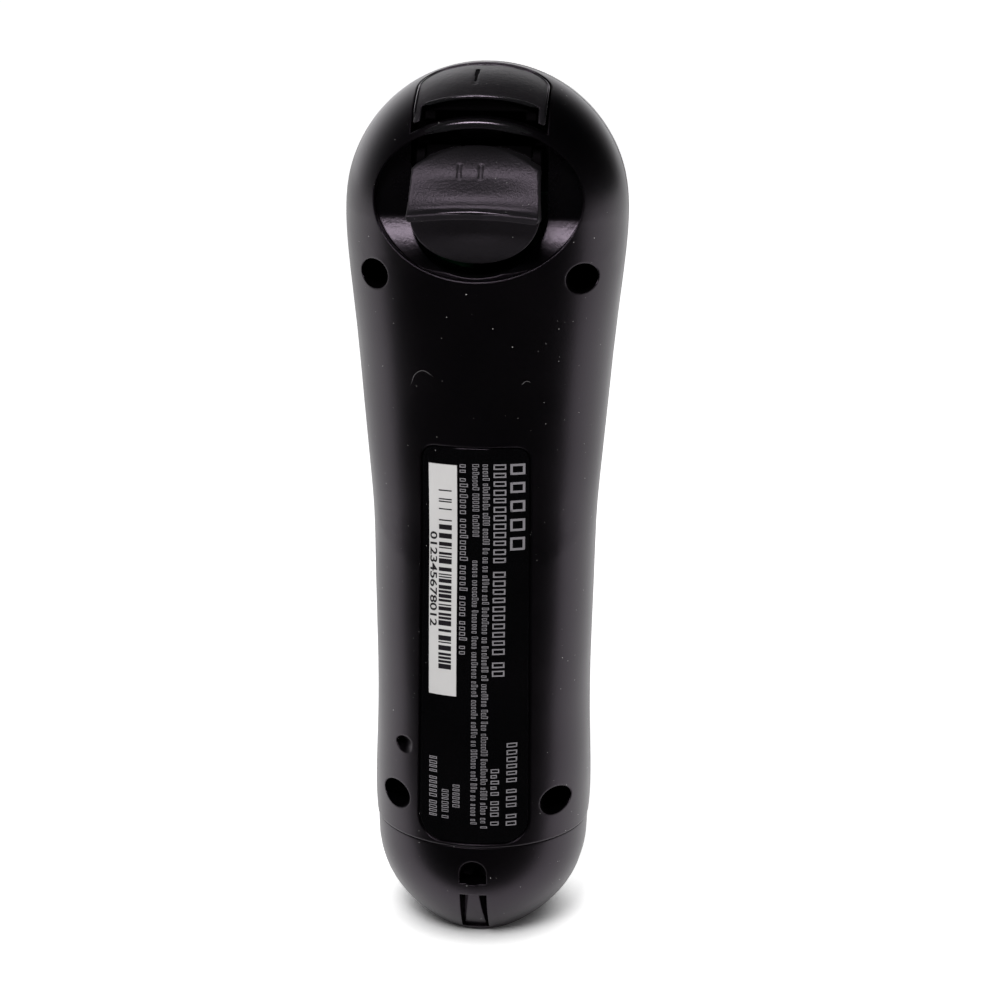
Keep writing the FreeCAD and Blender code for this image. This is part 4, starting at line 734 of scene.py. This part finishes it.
def partingLipBar():
    # Lip that closes the parting line from inside: up one side, a quarter circle over the dome, then mirrored
    climb = np.linspace(partingLip["foot"], partingLip["top"], 60)
    over = np.radians(np.linspace(0, 90, 31))
    dome = bodyShape["domeRadius"] - partingLip["inset"]
    x = np.concatenate([bodySides(climb)[0] - partingLip["inset"], dome * np.cos(over)])
    z = np.concatenate([climb, bodyShape["domeHeight"] + dome * np.sin(over)])
    path = np.stack([x, np.zeros(len(x)), z], axis=1)
    path = np.concatenate([path, path[-2::-1] * (-1, 1, 1)])
    roundBar("parting_lip", path, np.full(len(path), partingLip["radius"]), "root", "shell", "frame")


# Two hairs of lint on the grip: x and z of their bends in mm
lint = {"radius": 0.04, "taper": 0.2, "proud": 0.02,
        "hairs": ([(-9.8, 91.4), (-9.0, 93.4), (-7.6, 94.1), (-6.0, 93.2)],
                  [(6.8, 92.3), (7.6, 92.9), (8.3, 92.7)])}


def lintHairs():
    # Smooth curve through the bends, laid on the body
    t = np.linspace(0, 1, 31)
    radii = tapered(len(t), lint["radius"], lint["taper"])
    for number, hair in enumerate(lint["hairs"]):
        at = np.linspace(0, 1, len(hair))
        x, z = [smoothThrough(at, values, t) for values in zip(*hair)]
        path = np.stack([x, backDepth(x, z, lint["proud"]), z], axis=1)
        roundBar("lint_%d" % number, path, radii, "root", "shell", "lint")


upperLipBead()
upperRimBead()
lowerCrestBead()
recessRimBead()
partingLipBar()
lintHairs()
print("rims and lint done")


def flatSheet(name, halfWide, nearY, farY, height, material):
    # Level rectangle in metres, facing up
    mesh = bpy.data.meshes.new(name)
    mesh.from_pydata([(-halfWide, nearY, height), (halfWide, nearY, height), (halfWide, farY, height),
                      (-halfWide, farY, height)], [], [(0, 1, 2, 3)])
    mesh.materials.append(material)
    sheet = bpy.data.objects.new(name, mesh)
    bpy.context.scene.collection.objects.link(sheet)
    return sheet


paper = {"reach": 6.0, "cloudSize": 90.0, "colours": ("#fafafa", "#ffffff"), "shadowReach": 0.013,
         "closed": 0.3, "open": 0.7, "darkGlow": 0.03, "glow": 0.97, "mirrored": 0.76}


def layFloor():
    # White paper with a glow of its own that keeps it evenly white; the glow falls where the object's foot
    # covers it, a painted contact shadow, and is weaker in a mirror
    made = bpy.data.materials.new("white paper sweep")
    tree = emptyTree(made)
    place = addNode(tree, "TexCoord").outputs["Object"]
    clouds = addNode(tree, "TexNoise", {"Vector": place, "Scale": patternScale(paper["cloudSize"])})
    dark, light = [linearColour(code) for code in paper["colours"]]
    tone = addNode(tree, "Mix", {"Factor": clouds.outputs[0], 6: dark, 7: light}, data_type="RGBA")
    # painted contact shadow: the glow drops to darkGlow where ambient occlusion finds the object's foot close
    openness = addNode(tree, "AmbientOcclusion", {"Distance": paper["shadowReach"]}, samples=8)
    glowWithPaintedShadow = addNode(tree, "MapRange", {"Value": openness.outputs["AO"], "From Min": paper["closed"],
                      "From Max": paper["open"], "To Min": paper["darkGlow"], "To Max": paper["glow"]})
    seen = addNode(tree, "LightPath").outputs["Is Camera Ray"]
    inMirror = addNode(tree, "MapRange", {"Value": seen, "To Min": paper["mirrored"], "To Max": 1.0})
    glow = addNode(tree, "Math", {0: glowWithPaintedShadow.outputs[0], 1: inMirror.outputs[0]}, operation="MULTIPLY")
    shader = addNode(tree, "BsdfPrincipled", {"Base Color": tone.outputs[2], "Roughness": 0.9,
                     "Specular IOR Level": 0.0, "Emission Color": (1.0, 1.0, 1.0, 1.0),
                     "Emission Strength": glow.outputs[0]})
    addNode(tree, "OutputMaterial", {"Surface": shader.outputs[0]})
    floor = flatSheet("floor", paper["reach"], -paper["reach"], paper["reach"], 0, made)


cloth = {"near": -0.022, "far": -5.5, "side": 5.5, "height": 0.0005}


def layCloth():
    # A black cloth lies in front of the object, below the picture, and keeps the middle of the grip dark
    look = dict(plain, name="black cotton cloth", colours=("#030303", "#060606"), roughness=(0.9, 1.0),
                shine=0.0)
    sheet = flatSheet("black_cloth", cloth["side"], cloth["far"], cloth["near"], cloth["height"],
                      surfaceMaterial(look))
    sheet.visible_camera = False
    sheet.visible_diffuse = False
    sheet.visible_shadow = False


tent = {"facing": (0.28, -0.95, 0.15), "bright": -0.97, "dark": -0.34, "falloff": 1.8, "strength": 1.6,
        "least": 0.001, "behind": 1.3, "colour": "#fdfdfe"}


def lightTent():
    # White behind the object, dark in front of it: strength is a smooth step of the direction's dot product
    # with the facing one, to the power of the falloff; the camera itself sees plain white
    world = bpy.data.worlds.new("tent")
    bpy.context.scene.world = world
    tree = emptyTree(world)
    direction = addNode(tree, "TexCoord").outputs["Generated"]
    facing = addNode(tree, "VectorMath", {0: direction, 1: tent["facing"]}, operation="DOT_PRODUCT")
    level = addNode(tree, "MapRange", {"Value": facing.outputs["Value"], "From Min": tent["bright"],
                    "From Max": tent["dark"], "To Min": 1.0, "To Max": 0.0}, interpolation_type="SMOOTHSTEP")
    falling = addNode(tree, "Math", {0: level.outputs[0], 1: tent["falloff"]}, operation="POWER")
    glow = addNode(tree, "Math", {0: falling.outputs[0], 1: tent["strength"], 2: tent["least"]},
                   operation="MULTIPLY_ADD")
    seen = addNode(tree, "LightPath").outputs["Is Camera Ray"]
    strength = addNode(tree, "Mix", {"Factor": seen, 2: glow.outputs[0], 3: tent["behind"]},
                       data_type="FLOAT")
    light = addNode(tree, "Background", {"Color": linearColour(tent["colour"]),
                    "Strength": strength.outputs[0]})
    addNode(tree, "OutputWorld", {"Surface": light.outputs[0]})


# A small soft box above the camera, seen in the ramp beside the trigger and on the keys' edges
softBox = {"spot": (-0.11, -0.57, 0.77), "aim": (0, 0, 0.11), "size": 0.34, "power": 4.0}


def hangSoftBox():
    # Square lamp turned so that its back to front line runs from its spot to its aim
    data = bpy.data.lights.new("softBox", "AREA")
    data.shape = "SQUARE"
    data.size = softBox["size"]
    data.energy = softBox["power"]
    holder = bpy.data.objects.new("softBox", data)
    holder.location = softBox["spot"]
    towards = Vector(softBox["aim"]) - Vector(softBox["spot"])
    holder.rotation_euler = towards.to_track_quat("-Z", "Y").to_euler()
    bpy.context.scene.collection.objects.link(holder)


viewpoint = {"distance": 0.370, "elevation": 16.0, "azimuth": 5.5, "aim": (0, 0, 0.06954), "lens": 84.38,
             "roll": 0.40, "shift": 0.01478}


def placeCamera():
    # As in the photograph, a little to the right: azimuth 0 looks along +Y, elevation is measured from level
    turn, lift = math.radians(viewpoint["azimuth"]), math.radians(viewpoint["elevation"])
    back = Vector((math.sin(turn) * math.cos(lift), -math.cos(turn) * math.cos(lift), math.sin(lift)))
    data = bpy.data.cameras.new("camera")
    data.lens = viewpoint["lens"]
    data.sensor_width = 36
    data.shift_x = viewpoint["shift"]
    data.clip_start = 0.01
    camera = bpy.data.objects.new("camera", data)
    bpy.context.scene.collection.objects.link(camera)
    camera.location = Vector(viewpoint["aim"]) + back * viewpoint["distance"]
    level = (-back).to_track_quat("-Z", "Y").to_matrix().to_4x4()
    camera.rotation_euler = (level @ Matrix.Rotation(math.radians(viewpoint["roll"]), 4, "Z")).to_euler()
    bpy.context.scene.camera = camera


layFloor()
layCloth()
lightTent()
hangSoftBox()
placeCamera()
bpy.context.scene.view_settings.view_transform = "Standard"
print("stage set")
